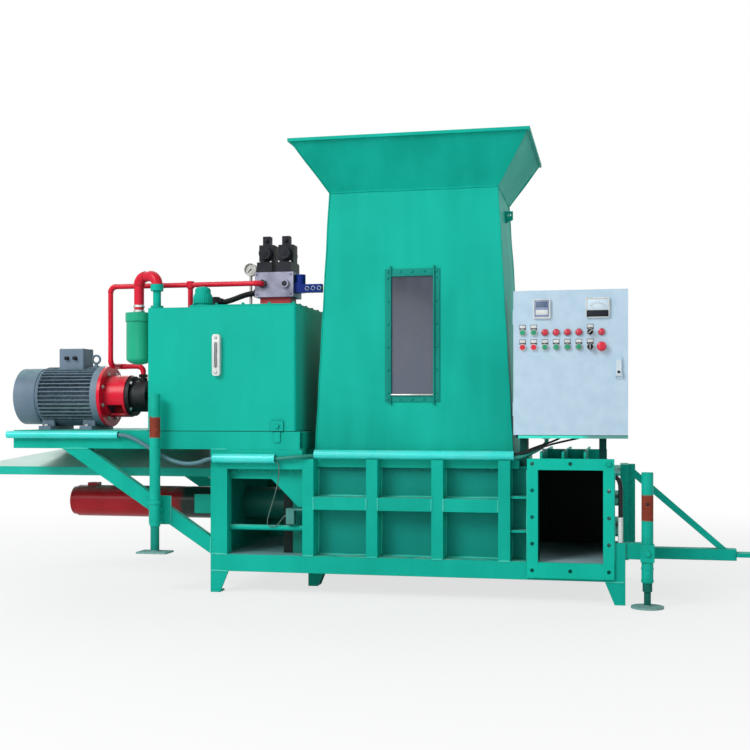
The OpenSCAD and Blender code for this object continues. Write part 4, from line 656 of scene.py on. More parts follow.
# %% [markdown]
# ## Surfaces from numbers
# A bolt head, a weld bead and a hose could be modelled by hand or with modifiers. All of them are
# grids of points, though: rows along one parameter, columns along another. These helpers turn whole
# numpy arrays of such points into meshes, so that each shape is one short formula. Points that meet
# at a pole are merged afterwards, and the faces are turned to look outwards.

# %% Grids into meshes
import bmesh


def ring_faces(rows, columns):
    """Four-sided faces between neighbouring rows of a grid whose columns close into rings."""
    i, j = np.meshgrid(np.arange(rows - 1), np.arange(columns), indexing="ij")
    beside = (j + 1) % columns
    corners = [i * columns + j, i * columns + beside, (i + 1) * columns + beside, (i + 1) * columns + j]
    return np.stack(corners, -1).reshape(-1, 4)


def joined(shapes):
    """Several (points, faces) as one, with the faces' numbers moved on."""
    starts = np.cumsum([0] + [len(points) for points, _ in shapes[:-1]])
    return (np.concatenate([points for points, _ in shapes]),
            np.concatenate([faces + start for (_, faces), start in zip(shapes, starts)]))


def piece(name, shapes, material, body=MACHINE, smooth=35):
    """One object that rides on a body; its place is in its mesh, which is in metres."""
    points, faces = joined(shapes)
    mesh = bpy.data.meshes.new(name)
    mesh.from_pydata(points.tolist(), [], faces.tolist())
    work = bmesh.new()
    work.from_mesh(mesh)
    bmesh.ops.remove_doubles(work, verts=work.verts, dist=1e-6)
    bmesh.ops.recalc_face_normals(work, faces=work.faces)
    work.to_mesh(mesh)
    work.free()
    mesh.shade_smooth()
    mesh.set_sharp_from_angle(angle=math.radians(smooth))
    mesh.materials.append(material)
    made = bpy.data.objects.new(name, mesh)
    bpy.context.scene.collection.objects.link(made)
    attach(made, body)
    print(name, len(mesh.polygons), "faces")
    return made


# %% Lathe and bar
def turned(profile, sides=24, ribs=0, depth=0.0):
    """Lathe work: every (r, h) of the profile becomes r cos a, r sin a, h at even angles a. Ribs swell
    the radius by the share depth x cos(ribs x a)."""
    r, h = np.array(profile, dtype=float).T
    a = (np.arange(sides) + 0.5) * 2 * np.pi / sides
    swollen = r[:, None] * (1 + depth * np.cos(ribs * a))
    points = np.stack([swollen * np.cos(a), swollen * np.sin(a), h[:, None] + 0 * a], -1)
    return points.reshape(-1, 3), ring_faces(len(r), sides)


def bar(size, edge=1.5):
    """A block standing on its seat: rounded rectangles, the top one drawn in by the edge."""
    w, d, h = size
    outline = np.array([[-1, -1], [1, -1], [1, 1], [-1, 1]]) * 0.5
    rows = [(0.0, 0.0, 0.0), (w, d, 0.0), (w, d, h - edge), (w - edge, d - edge, h - 0.3 * edge),
            (w - 2 * edge, d - 2 * edge, h), (0.0, 0.0, h)]
    rings = [np.column_stack([outline * [rw, rd], np.full(4, rh)]) for rw, rd, rh in rows]
    return np.concatenate(rings), ring_faces(len(rows), 4)


# %% Turning and repeating
TURN = {
    "+z": np.eye(3),
    "-z": np.diag([1.0, -1.0, -1.0]),
    "-y": np.array([[1.0, 0, 0], [0, 0, -1], [0, 1, 0]]),
    "+y": np.array([[1.0, 0, 0], [0, 0, 1], [0, -1, 0]]),
    "+x": np.array([[0, 0, 1.0], [0, 1, 0], [-1, 0, 0]]),
    "-x": np.array([[0, 0, -1.0], [0, 1, 0], [1, 0, 0]]),
}


def repeated(points, faces):
    """One shape many times over: points[copy, point] in the drawing, and the faces of one copy."""
    count, each, _ = points.shape
    steps = np.arange(count).reshape(-1, 1, 1) * each
    return place(points.reshape(-1, 3)), (faces[None] + steps).reshape(-1, 4)


def copies(shape, axis, places):
    """The shape, turned to stand along an axis, at every place of the drawing at once."""
    points, faces = shape
    where = np.asarray(places, dtype=float).reshape(-1, 1, 3)
    return repeated(where + (points @ TURN[axis].T)[None], faces)


def around(centre, radius, count, axis, first=0.0):
    """Places at even angles on a circle about an axis of the drawing."""
    a = np.arange(count) * 2 * np.pi / count + math.radians(first)
    ring = np.stack([np.cos(a), np.sin(a), 0 * a], -1) * radius
    return np.asarray(centre, dtype=float) + ring @ TURN[axis].T


def fitted(name, shape, axis, places, material, body=MACHINE):
    """One piece made of copies of a single shape."""
    piece(name, [copies(shape, axis, places)], material, body)


# %% [markdown]
# ## Weld beads
# The frame is stick-welded. A bead is a thin rounded worm along a seam: its radius swells and
# shrinks once for every drop of metal, and it tapers off at both ends. It lies half sunk in the
# two plates, under a paler coat of the same paint, which is painted highlight on the beads. Bump could
# draw it, but only a mesh shows a rough outline along the seam.


# %% One bead
def bead(start, end, size=4.0, drop=9.0):
    """Circle of radius size x (1 + 0.16 sin(turn per drop)) x taper, carried from start to end."""
    start, end = np.asarray(start, dtype=float), np.asarray(end, dtype=float)
    length = np.linalg.norm(end - start)
    way = (end - start) / length
    s = np.linspace(0.0, length, max(6, int(length / (drop / 3))))
    wander = 0.25 * size * np.sin(s / 37.0 + start.sum())
    taper = np.clip(np.minimum(s, length - s) / size, 0, 1) ** 0.5
    radius = size * (1 + 0.16 * np.sin(2 * np.pi * s / drop)) * taper
    side = np.cross(way, [0.31, 0.82, 0.48])
    side /= np.linalg.norm(side)
    up = np.cross(side, way)
    a = np.arange(6) * np.pi / 3
    ring = np.cos(a)[:, None] * side + np.sin(a)[:, None] * up
    spine = start + s[:, None] * way + wander[:, None] * side
    points = spine[:, None, :] + radius[:, None, None] * ring[None]
    return place(points.reshape(-1, 3)), ring_faces(len(s), 6)


def seam(*corners, size=4.0):
    """Beads from each corner of a route to the next."""
    return [bead(a, b, size) for a, b in zip(corners[:-1], corners[1:])]


# %% Hopper seams
hopper_foot = [461, 1345, 94, 806]
hopper_neck = [527, 1279, 94, 622]
flare_mouth = [389, 1417, -56, 686]
foot_z, neck_z, mouth_z = 606, 1788, 1990


def corners_of(sides, z):
    """The four corners of a level rectangle."""
    x0, x1, y0, y1 = sides
    return [[x0, y0, z], [x1, y0, z], [x1, y1, z], [x0, y1, z]]


foot = corners_of(hopper_foot, foot_z)
neck = corners_of(hopper_neck, neck_z)
mouth = corners_of(flare_mouth, mouth_z)
hopper_beads = []
for lower, upper in ((foot, neck), (neck, mouth)):
    for low, high in zip(lower, upper):
        hopper_beads += seam(low, high, size=3.5)
for ring in (neck, foot):
    hopper_beads += seam(*ring, ring[0], size=4.5)
piece("hopper_welds", hopper_beads, hopper_paint)

# %% Sizes of the frame
frame_len, frame_depth = 1820, 900
floor_z, seat_z, deck_z = 172, 600, 640
wall_front, wall_back = 90, 810
post_w, post_step, first_post = 51, 288, 426
rib_low, rib_high = 376.75, 433.75
end_post_w, leg_w, leg_z, brace_z = 78, 84, 96, 248
brace_top_x, outlet_sides = (-593, -723), (1413, 1775)
drawbar_z, drawbar_seams = 197, ((1836, 420, 480), (1866, 430, 470), (2225, 430, 470), (2265, 430, 470))
print("frame", frame_len, "x", frame_depth, "mm")

# %% Frame seams
frame_beads = []
for face, wall in ((0, wall_front), (frame_depth, wall_back)):
    for i in range(4):
        x = first_post + post_step * i
        frame_beads += seam([x, face, floor_z], [x + post_w, face, floor_z])
        for side in (x, x + post_w):
            frame_beads += seam([side, wall, floor_z + 4], [side, wall, seat_z - 40], size=3.5)
    for i in range(3):
        x0 = first_post + post_step * i + post_w
        x1 = first_post + post_step * (i + 1)
        for z in (floor_z, rib_low, rib_high):
            frame_beads += seam([x0 + 3, wall, z], [x1 - 3, wall, z], size=5.0)
        for x in (x0, x1):
            frame_beads += seam([x, face, rib_low], [x, face, rib_high])
for face in (0, frame_depth):
    for z in (floor_z, deck_z):
        frame_beads += seam([0, face, z], [end_post_w, face, z])
    for x in (0, frame_len - leg_w):
        frame_beads += seam([x, face, leg_z], [x + leg_w, face, leg_z])
    frame_beads += seam(*[[x, face, deck_z] for x in brace_top_x])
    frame_beads += seam([0, face, floor_z], [0, face, brace_z])
for x in outlet_sides:
    frame_beads += seam([x, 0, 180], [x, 0, 560], size=3.5)
for x, y0, y1 in drawbar_seams:
    frame_beads += seam([x, y0, drawbar_z], [x, y1, drawbar_z])
for y in (10, 60):
    frame_beads += seam([frame_len, y, 192], [frame_len, y, 260])
for x in (-291, -191):
    frame_beads += seam([x, -1, 300], [x, -1, 430])
piece("frame_welds", frame_beads, weld_paint_with_highlight)

# %% [markdown]
# ## Bolts
# Bolts come in a few kinds: painted hexagons on the frame, zinc ones on the power pack and small
# domed ones round the window. Each kind is one shape with a washer, repeated with a single array.


# %% Bolt shapes
def hexagon(d, washer=True):
    """Head of a bolt of diameter d: 1.8 d over corners, 0.65 d high, on a washer 0.15 d thick."""
    seat = 0.15 * d if washer else 0.0
    top = seat + 0.65 * d
    wall = [(0, seat), (0.90 * d, seat), (0.90 * d, top - 0.12 * d), (0.76 * d, top), (0, top)]
    head = turned(wall, 6)
    if not washer:
        return head
    disc = turned([(0, 0), (1.1 * d, 0), (1.1 * d, 0.7 * seat), (1.02 * d, seat), (0, seat)], 20)
    return joined([disc, head])


def dome(d):
    """A low round head: quarter of an ellipse, 0.35 d high."""
    a = np.linspace(0, np.pi / 2, 5)
    return turned([(0, 0)] + [(0.5 * d * math.cos(t), 0.35 * d * math.sin(t)) for t in a], 16)


def socket_screw(d):
    """A cap screw: round head with a six-sided pit in its top."""
    return turned([(0, 0), (0.78 * d, 0), (0.78 * d, 0.9 * d), (0.70 * d, d), (0.44 * d, d),
                   (0.42 * d, 0.45 * d), (0, 0.45 * d)], 18)


# %% Painted bolts
window_left, window_right, window_low, window_high = 781, 1025, 852, 1439
window_face = 89
side_x, side_z = (window_left + 14, window_right - 14), np.linspace(window_low + 40, window_high - 40, 6)
end_x, end_z = np.linspace(*side_x, 5), (window_low + 12, window_high - 12)
window_places = ([[x, window_face, z] for x in side_x for z in side_z]
                 + [[x, window_face, z] for x in end_x for z in end_z])
foot_places = ([[x, y, foot_z] for x in (480, 690, 900, 1110, 1325) for y in (84, 816)]
               + [[x, y, foot_z] for x in (451, 1355) for y in (230, 450, 670)])
fitted("window_bolts", dome(13), "-y", window_places, frame_paint)
fitted("hopper_bolts", hexagon(10), "+z", foot_places, hopper_paint)
fitted("outlet_bolt", hexagon(12), "-y", [[1753, -12, 588]], teal_paint)

# %% Right jack
jack_x, jack_y = 1908, -42
collar = turned([(24.1, 0), (26, 1), (26, 8), (24.1, 9)], 32)
jack_parts = [
    copies(hexagon(14), "-y", [[jack_x, -70, 226]]),
    copies(collar, "+z", [[jack_x, jack_y, z] for z in (108, 158)]),
]
piece("jack_fittings", jack_parts, right_jack_paint, "right_jack_tube")
fitted("jack_pin", dome(13), "-y", [[jack_x, -65.8, 428]], fitting_steel, "right_jack_tube")

# %% Zinc bolts of the power pack
ram_y, ejector_x, press_z = 450, 1594, 367
motor_y, motor_z = 260, 884
zinc_bolts = [
    copies(hexagon(18), "-x", [[-40, ram_y + y, press_z + z] for y in (-85, 85) for z in (-85, 85)]),
    copies(hexagon(14), "+y", [[ejector_x + x, 955, press_z + z] for x in (-55, 55) for z in (-55, 55)]),
    copies(hexagon(12), "+z", [[x, motor_y + y, 742] for x in (-883, -675) for y in (-106, 106)]),
    copies(hexagon(10), "+x", around([-594, motor_y, motor_z], 112, 8, "+x", 22.5)),
    copies(hexagon(10), "+x", around([-472, motor_y, motor_z], 85, 4, "+x", 45)),
]
piece("power_pack_bolts", zinc_bolts, zinc)

# %% [markdown]
# ## Window trim
# The pane is held by two upright bars that run a little past the frame, with a bright sill at its
# foot. Each bar is a block whose outer face is drawn in by a small edge, which catches the light as
# the edges of rolled steel do.

# %% Bars and sill
middle_x, middle_z = (window_left + window_right) / 2, (window_low + window_high) / 2
fitted("window_bars", bar((7, 612, 8)), "-y", [[x, window_face, middle_z] for x in (806, 1000)],
       frame_paint)
fitted("window_sill", bar((188, 7, 9)), "-y", [[middle_x, window_face, 883]], zinc)
fitted("window_lintel", bar((188, 6, 7)), "-y", [[middle_x, window_face, 1408]], frame_paint)

# %% [markdown]
# ## Power pack fittings
# Pipes end in hexagon union nuts, the valves carry coil nuts, plugs with cable glands and cap
# screws, and the sight glass on the tank has a clear tube with oil in it. The breather cap has a
# ribbed skirt. All of them are turned by the lathe function with six sides or many.


# %% Union nuts and plugs
def ring_nut(inner, outer, h, sides=6):
    """A nut as a closed ring: outer wall up, chamfer in, inner wall down."""
    c = 0.12 * outer
    wall = [(inner, 0), (outer, 0), (outer, h - c), (outer - c, h), (inner, h), (inner, 0)]
    return turned(wall, sides)


pipe_nut = ring_nut(12.2, 21, 16)
port_y, port_z = 186, 1398
union_nuts = [
    copies(pipe_nut, "-y", [[186, port_y, port_z]]),
    copies(pipe_nut, "+z", [[-434, motor_y, 973]]),
    copies(hexagon(15, washer=False), "-y", [[291, port_y, port_z]]),
]
piece("union_nuts", union_nuts, fitting_steel)
hose_clip = ring_nut(23.2, 26.5, 12, 28)
fitted("hose_clips", hose_clip, "+z", [[-374, 72, z] for z in (1268, 1290)], zinc)

# %% Valve details
valve_x = (192.25, 284.75)
coil_z, plug_z, base_top, plug_top = 1541, 1603, 1499, 1623
coil_front, plug_front, block_front = 198, 233, 198
knurl = turned([(0, 0), (16, 0), (16, 9), (14, 11), (5, 11), (5, 15), (0, 15)], 20)
gland = turned([(0, 0), (10, 0), (10, 5), (8, 5), (8, 12), (9, 12), (9, 18), (5, 20), (0, 20)], 12)
coil_rib = turned([(28.2, 0), (30.5, 0.8), (30.5, 3.2), (28.2, 4)], 32)
valve_parts = [
    copies(knurl, "-y", [[x, coil_front, coil_z] for x in valve_x]),
    copies(gland, "-y", [[x, plug_front, plug_z] for x in valve_x]),
    copies(coil_rib, "-y", [[x, y, coil_z] for x in valve_x for y in (205, 213, 221, 229)]),
]
piece("valve_details", valve_parts, black_plastic)
valve_screws = [
    copies(socket_screw(7), "+z", [[x + dx, y, base_top] for x in valve_x for dx in (-27, 27)
                                   for y in (206, 330)]),
    copies(dome(8), "+z", [[x, 250, plug_top] for x in valve_x]),
    copies(socket_screw(8), "-y", [[x, block_front, z] for x in (158, 319) for z in (1350, 1441)]),
]
piece("valve_screws", valve_screws, zinc)
cap = turned([(0, 0), (10, 0), (10, 3), (9, 4), (4.5, 4), (4, 2), (0, 2)], 24)
fitted("manifold_caps", cap, "-y", [[x, 212, 1377] for x in (391.1, 419.7, 448.3)], white_plastic)

# %% Breather cap
skirt_wall = [(35, 0), (42, 0), (43.5, 4), (43.5, 26), (41, 38), (36.6, 46), (35, 46), (35, 0)]
cap_skirt = turned(skirt_wall, sides=112, ribs=28, depth=0.03)
fitted("cap_skirt", cap_skirt, "+z", [[-77, 110, 1304]], tank_paint, "filler_cap")

# %% Sight glass
sight_x = 32
sight_tube = turned([(0, 0), (5.5, 0), (5.5, 108), (0, 108)], 20)
fitted("sight_glass", sight_tube, "+z", [[sight_x, -16, 1008]], oil_glass)
fitted("sight_screws", dome(14), "-y", [[sight_x, -22, z] for z in (985, 1139)], zinc)

# %% [markdown]
# ## Motor details
# The motor has a lifting eye on its back, and cable glands and screws on its terminal box. The eye is
# a ring: a circle carried round a circle.


# %% Lifting eye and terminal box
def torus(big, small, rows=28, columns=12):
    """(big + small cos b) cos a, (big + small cos b) sin a, small sin b, with a closed as well."""
    round_eye, round_bar = np.linspace(0, 2 * np.pi, rows), np.arange(columns) * 2 * np.pi / columns
    a, b = np.meshgrid(round_eye, round_bar, indexing="ij")
    r = big + small * np.cos(b)
    points = np.stack([r * np.cos(a), r * np.sin(a), small * np.sin(b)], -1).reshape(-1, 3)
    return points, ring_faces(rows, columns)


eye_foot = turned([(0, 0), (18, 0), (18, 6), (9, 10), (8, 16), (0, 16)], 20)
eye_x = -676
eye_parts = [
    copies(torus(19, 5.5), "-y", [[eye_x, motor_y, 1062]]),
    copies(eye_foot, "+z", [[eye_x, motor_y, 1023]]),
]
piece("lifting_eye", eye_parts, motor_paint)
screw_places = [[x, y, 1112] for x in (-834, -724) for y in (215, 305)]
fitted("terminal_screws", dome(10), "+z", screw_places, zinc)
fitted("terminal_gland", gland, "-y", [[x, 205, 1066] for x in (-800, -758)], black_plastic)

# %% [markdown]
# ## Gauge and meters
# The pressure gauge has a white face with a ring of ticks, the ammeter a scale over a black foot,
# and the counter a small display. A printed dial could be a picture, but thin bars stay sharp from
# any distance, so the ticks are one array of bars turned about the dial.


# %% Ticks and the face of the gauge
def ticks(centre, radius, count, first, last, size, face):
    """Thin bars on an arc: each is turned about the dial so that it points at the centre."""
    w, length, thick = size
    points, faces = bar((w, length, thick), 0.0)
    a = np.radians(np.linspace(first, last, count))
    u, v = points[:, 0][None], points[:, 1][None] + radius
    x = u * np.sin(a)[:, None] + v * np.cos(a)[:, None]
    z = -u * np.cos(a)[:, None] + v * np.sin(a)[:, None]
    y = np.broadcast_to(-points[:, 2][None], x.shape)
    where = np.array([centre[0], face, centre[1]])
    return repeated(where + np.stack([x, y, z], -1), faces)


gauge_x, gauge_face_y, gauge_z = 109, 250.1, 1473
dial_r, dial_thick = 25.6, 0.15
dial = turned([(0, 0), (dial_r, 0), (dial_r, dial_thick), (0, dial_thick)], 40)
fitted("gauge_face", dial, "-y", [[gauge_x, gauge_face_y, gauge_z]], dial_white)
gauge_ticks = [ticks((gauge_x, gauge_z), radius, count, 225, -45, size, gauge_face_y - dial_thick)
               for radius, count, size in ((22.0, 7, (1.0, 5.0, 0.1)), (23.2, 31, (0.5, 2.6, 0.1)))]
piece("gauge_ticks", gauge_ticks, ink)

# %% Ammeter
meter_face_y = -9
ammeter_x, ammeter_low = 1706, 1222
fitted("ammeter_face", bar((86, 46, 0.4), 0.1), "-y", [[ammeter_x, meter_face_y, 1255]], dial_white,
       "door")
fitted("ammeter_foot", bar((90, 27, 5), 1.2), "-y", [[ammeter_x, meter_face_y, 1218]], black_plastic,
       "door")
scale_marks = [
    (42.0, 6, 135, 45, (0.9, 6.0, 0.1), meter_face_y - 0.4),
    (43.5, 26, 135, 45, (0.4, 3.0, 0.1), meter_face_y - 0.4),
    (38.6, 60, 134, 46, (1.1, 0.5, 0.1), meter_face_y - 0.4),
    (28.0, 1, 133, 133, (0.6, 26.0, 0.5), meter_face_y - 0.5),
]
ammeter_scale = [ticks((ammeter_x, ammeter_low), *marks) for marks in scale_marks]
piece("ammeter_scale", ammeter_scale, ink, "door")

# %% Counter
counter_x, key_z = 1475, 1227
fitted("counter_face", bar((60, 70, 0.5), 0.1), "-y", [[counter_x, meter_face_y, 1242]], counter_grey,
       "door")
fitted("counter_display", bar((48, 22, 1.0), 0.3), "-y", [[counter_x, meter_face_y, 1259]], display_slate,
       "door")
counter_keys = [
    copies(bar((50, 20, 0.8), 0.2), "-y", [[counter_x, meter_face_y, key_z]]),
    copies(bar((8, 8, 2.2), 0.6), "-y", [[counter_x + x, meter_face_y, key_z] for x in (-18, -6, 6, 18)]),
]
piece("counter_keys", counter_keys, white_plastic, "door")
segment_across = bar((4.4, 0.9, 0.25), 0.05)
segment_up = bar((0.9, 4.6, 0.25), 0.05)
digit_x, digit_y = counter_x + np.array([-16.5, -5.5, 5.5, 16.5]), meter_face_y - 1.0
digits = [
    copies(segment_across, "-y", [[x, digit_y, z] for x in digit_x for z in (1253.4, 1264.6)]),
    copies(segment_up, "-y", [[x + dx, digit_y, z] for x in digit_x for dx in (-2.9, 2.9)
                              for z in (1256.2, 1261.8)]),
]
piece("counter_digits", digits, display_glow, "door")

# %% [markdown]
# ## Cabinet front
# Each control sits in a bright bezel under a blank label in a black holder. The selectors carry a
# white line on their grip, and the lock has a round key barrel. They are the blocks and rings of the
# helpers above, and each rides on the body that it turns with.

# %% Holders, bezels and pointers
column = 1394 + 47 * np.arange(8)
upper_z, lower_z = 1142, 1080
labelled = [[column[i], upper_z] for i in (0, 1, 6)] + [[column[i], lower_z] for i in range(7)]
fitted("label_holders", bar((27, 22, 1.3), 0.4), "-y", [[x, 0, z + 22.5] for x, z in labelled],
       black_plastic, "door")
fitted("blank_labels", bar((23, 11.5, 0.6), 0.1), "-y", [[x, -1.5, z + 25] for x, z in labelled],
       white_plastic, "door")
bezel = ring_nut(14.2, 16.5, 4, 32)
fitted("lamp_bezels", bezel, "-y", [[column[i], 0, upper_z] for i in (2, 3, 4, 5, 7)], trim_metal,
       "door")
pointer = bar((2.6, 20, 0.5), 0.1)
knob_face, slant = -30.3, math.radians(45)
fitted("lower_pointer", pointer, "-y", [[column[6], knob_face, lower_z]], white_plastic,
       "lower_selector")
points, faces = pointer
lean = np.array([[math.cos(slant), math.sin(slant), 0], [-math.sin(slant), math.cos(slant), 0], [0, 0, 1]])
fitted("upper_pointer", (points @ lean.T, faces), "-y", [[column[6], knob_face, upper_z]], white_plastic,
       "upper_selector")
barrel = turned([(0, 0), (6, 0), (6, 1.2), (5, 2), (1.6, 2), (1.4, 0.8), (0, 0.8)], 20)
fitted("key_barrel", barrel, "-y", [[1793, -12.7, 973]], fitting_steel, "door_handle")

# %% [markdown]
# ## Cables and hoses
# The supply cable leaves the deck conduit, sags past the left jack in a ribbed sleeve, and goes
# through two more conduits to the cabinet. Two thin leads leave the last conduit with it. A thin wire
# hangs in the ram bay and ends at the limit switch, and a hose with a white guard rises beside the
# outlet. On the tank's lid a short hose runs from the valve block to an elbow. Curve objects would do,
# but a route of points also gives the length, so the drawing's own points are made smooth and a
# circle is carried along them.


# %% Smooth routes and tubes
def smooth_route(points, per_span=6):
    """Each span is a cubic through its two ends whose slopes come from the neighbours."""
    p = np.asarray(points, dtype=float)
    p = np.vstack([2 * p[0] - p[1], p, 2 * p[-1] - p[-2]])
    t = np.linspace(0, 1, per_span, endpoint=False)[None, :, None]
    a, b, c, d = p[:-3, None], p[1:-2, None], p[2:-1, None], p[3:, None]
    second, third = 2 * a - 5 * b + 4 * c - d, 3 * b - a - 3 * c + d
    curve = 0.5 * (2 * b + (c - a) * t + second * t ** 2 + third * t ** 3)
    return np.vstack([curve.reshape(-1, 3), p[-2]])


def tube(route, radius, sides=14):
    """A circle of the given radius, one number or one for each point, carried along the route."""
    way = np.gradient(route, axis=0)
    way /= np.linalg.norm(way, axis=1)[:, None]
    side = np.cross(way, [0.0, 1.0, 0.0])
    side /= np.linalg.norm(side, axis=1)[:, None]
    up = np.cross(side, way)
    a = np.arange(sides) * 2 * np.pi / sides
    r = np.broadcast_to(radius, len(route))[:, None, None]
    rings = route[:, None] + r * (np.cos(a)[:, None] * side[:, None] + np.sin(a)[:, None] * up[:, None])
    start, end = np.repeat(route[:1], sides, 0), np.repeat(route[-1:], sides, 0)
    points = np.vstack([start, rings.reshape(-1, 3), end])
    return place(points), ring_faces(len(route) + 2, sides)


# %% Routes of the cable and its leads
def along_x(start, stop, y, z, step=60):
    """Points of a straight run along X, both ends included."""
    return [[x, y, z] for x in range(start, stop + 1, step)]


power_route = [
    *along_x(-560, -440, -18, 703), [-400, -18, 700], [-355, -18, 684],
    [-310, -18, 660], [-265, -18, 633], [-220, -18, 608], [-175, -19, 589], [-130, -19, 578],
    [-85, -20, 576], [-45, -20, 583], [-10, -21, 595],
    *along_x(30, 270, -21, 601), [310, -21, 601], [340, -22, 603],
    [370, -22, 606], [400, -20, 609], [425, -15, 611], [440, -6, 612], [452, 5, 612.5],
    [464, 14, 612.5], [477, 19, 612.5], [490, 20, 612.5],
    *along_x(510, 1290, 20, 612.5), [1345, 20, 612.5],
    [1375, 20.5, 614], [1405, 25, 622], [1435, 36, 636], [1460, 50, 650], [1480, 62, 664],
    [1490, 70, 676], [1490, 70, 691],
]
front_lead_route = [
    [1250, 14.5, 628], [1300, 14.5, 628], [1345, 14.5, 628], [1375, 14, 629], [1405, 14, 634],
    [1440, 16, 645], [1480, 19, 659], [1520, 23, 671], [1560, 28, 681], [1600, 34, 690],
    [1628, 40, 697], [1640, 43, 703], [1640, 43, 709],
]
rear_lead_route = [
    [1250, 25.5, 628], [1300, 25.5, 628], [1345, 25.5, 628], [1375, 25.5, 631], [1400, 26, 637],
    [1430, 27, 650], [1465, 34, 663], [1500, 43, 675], [1530, 52, 687], [1550, 58, 698],
    [1555, 60, 704], [1555, 60, 709],
]
print("points of the cable's route", len(power_route))

# %% Routes of the hoses and the wire
hose_x, hose_y = 1800, 10
drain_hose_route = [[hose_x, hose_y, z] for z in (260, 290, 330, 370, 410, 450, 480)]
drain_hose_route += [[x, hose_y, z] for x, z in (
    (1798, 505), (1791, 524), (1778, 535), (1762, 539), (1750, 540), (1741, 540))]
wire_route = [
    [290, -21, 587], [310, -21, 587], [321, -21, 579], [325, -20, 560], [322, -15, 520],
    [310, -6, 470], [292, 2, 415], [272, 10, 360], [262, 15, 325], [264, 20, 303],
    [280, 25, 296], [300, 29, 302], [318, 31, 322], [328, 32, 336], [338, 32, 344], [347.5, 32, 346],
]
lid_hose_y, block_port_z, elbow_x, elbow_port_z = 236, 1361, -60, 1322
lid_hose_route = [[x, lid_hose_y, z] for x, z in (
    (148, block_port_z), (130, block_port_z), (115, 1360.1), (100, 1357.8), (80, 1352.9), (60, 1346.6),
    (40, 1339.8), (20, 1333.1), (0, 1327.5), (-20, 1323.5), (-40, elbow_port_z), (elbow_x, elbow_port_z))]


def run(name, line, radius, material, sides=14):
    made = piece(name, [tube(line, radius, sides)], material)
    return made


# %% Supply cable, leads, wire and two hoses
cable_line = smooth_route(power_route, 10)
sleeve_start, sleeve_end = -436, 19
ribbed = (cable_line[:, 0] > sleeve_start) & (cable_line[:, 0] < sleeve_end)
along_cable = np.concatenate([[0], np.cumsum(np.linalg.norm(np.diff(cable_line, axis=0), axis=1))])
plain_r, rib_depth, rib_step = 8.9, 0.8, 16.0
cable_radius = np.where(ribbed, plain_r + rib_depth * np.sin(2 * np.pi * along_cable / rib_step), plain_r)
supply_cable = run("supply_cable", cable_line, cable_radius, cable_skin)
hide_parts("wiring")
run("front_lead", smooth_route(front_lead_route), 4.4, hose_rubber, 10)
run("rear_lead", smooth_route(rear_lead_route), 4.4, hose_rubber, 10)
run("switch_wire", smooth_route(wire_route, 5), 2.5, wire_skin, 10)
run("drain_hose", smooth_route(drain_hose_route), 9.4, hose_rubber)
run("lid_hose", smooth_route(lid_hose_route), 13.0, hose_rubber)

# %% Ends of the lid hose
elbow = turned([(0, 0), (24, 0), (24, 50), (20, 54), (0, 54)], 6)
hose_nut = ring_nut(13.2, 22, 16)
lid_top = 1294
hose_ends = [
    copies(elbow, "+z", [[elbow_x, lid_hose_y, lid_top]]),
    copies(hose_nut, "+x", [[-39.5, lid_hose_y, elbow_port_z]]),
    copies(hose_nut, "-x", [[146, lid_hose_y, block_port_z]]),
]
piece("lid_hose_ends", hose_ends, fitting_steel)

# %% Guard of the hose
guard_z = np.linspace(262, 366, 105)
guard_radius = 10.4 + 0.9 * np.sin(2 * np.pi * guard_z / 9.0)
guard_line = np.array([[hose_x, hose_y, z] for z in guard_z])
piece("hose_guard", [tube(guard_line, guard_radius, 20)], white_plastic)

# %% [markdown]
# ## Floor and light
# The machine stands on white. A pale floor keeps a soft shadow near the machine and fades to white
# further out, and the sky is plain white for the camera, for reflections and for glass, while it
# lights the machine only gently. One large lamp stands high on the left in front, as the brighter
# left faces show, with a weak one on the right, a low one in front that reaches under the deck and into
# the bay, and one behind for the far side.

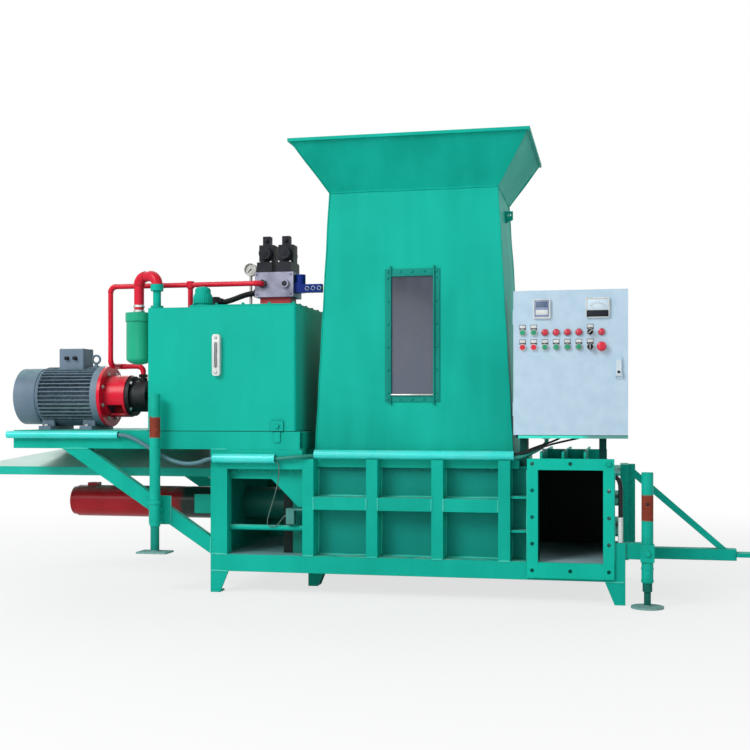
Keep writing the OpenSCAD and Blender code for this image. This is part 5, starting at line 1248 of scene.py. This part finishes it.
# %% Floor
half = 60.0
floor_corners = [(-half, -half, 0), (half, -half, 0), (half, half, 0), (-half, half, 0)]
floor_mesh = bpy.data.meshes.new("floor")
floor_mesh.from_pydata(floor_corners, [], [(0, 1, 2, 3)])
floor = bpy.data.objects.new("floor", floor_mesh)
bpy.context.scene.collection.objects.link(floor)
pale = Finish("pale floor")
pale.set(Base_Color=(0.72, 0.73, 0.73, 1.0), Roughness=0.9)
white = pale.node("ShaderNodeEmission", sockets={"Color": (1, 1, 1, 1), "Strength": 1.0})
across, deep, _ = pale.axes()
away = (across * across + deep * deep) ** 0.5
faded = pale.step(away, 1.6, 4.5) * 0.28 + 0.72
share = pale.background_rays() * faded
blend = pale.node("ShaderNodeMixShader", sockets={0: share, 1: pale.surface, 2: white})
pale.feed(pale.output.inputs["Surface"], blend)
floor_mesh.materials.append(pale.material)
print("floor", 2 * half, "m wide")

# %% Sky
world = bpy.data.worlds.new("studio")
bpy.context.scene.world = world
world.use_nodes = True
sky = Nodes(world.node_tree)
soft = sky.node("ShaderNodeBackground", sockets={"Color": (0.95, 0.98, 1.0, 1.0), "Strength": 0.40})
backdrop = sky.node("ShaderNodeBackground", sockets={"Color": (1.0, 1.0, 1.0, 1.0), "Strength": 1.0})
chosen = sky.node("ShaderNodeMixShader", sockets={0: sky.background_rays(), 1: soft, 2: backdrop})
world_output = sky.tree.nodes.new("ShaderNodeOutputWorld")
sky.feed(world_output.inputs["Surface"], chosen)
print("sky made")


# %% Lamps
def lamp(name, where, aim, size, power):
    """A round area lamp that stands at one place and looks at another."""
    data = bpy.data.lights.new(name, "AREA")
    data.shape = "DISK"
    data.size = size
    data.energy = power
    made = bpy.data.objects.new(name, data)
    made.location = where
    way = np.array(aim) - np.array(where)
    made.rotation_euler = (math.atan2(math.hypot(way[0], way[1]), -way[2]), 0,
                           math.atan2(way[1], way[0]) - math.pi / 2)
    bpy.context.scene.collection.objects.link(made)


lamp("key", (-4.0, -6.8, 5.6), (0.0, 0.0, 0.9), 4.2, 430)
lamp("fill", (5.5, -5.0, 3.5), (0.3, 0.0, 0.8), 5.0, 60)
lamp("low card", (-0.7, -4.8, 0.9), (-0.3, 0.0, 0.5), 1.8, 18)
lamp("back", (-4.0, 7.0, 4.5), (0.0, 0.0, 0.9), 4.5, 230)
bpy.context.scene.view_settings.view_transform = "Standard"
print("lamps", len(bpy.data.lights))
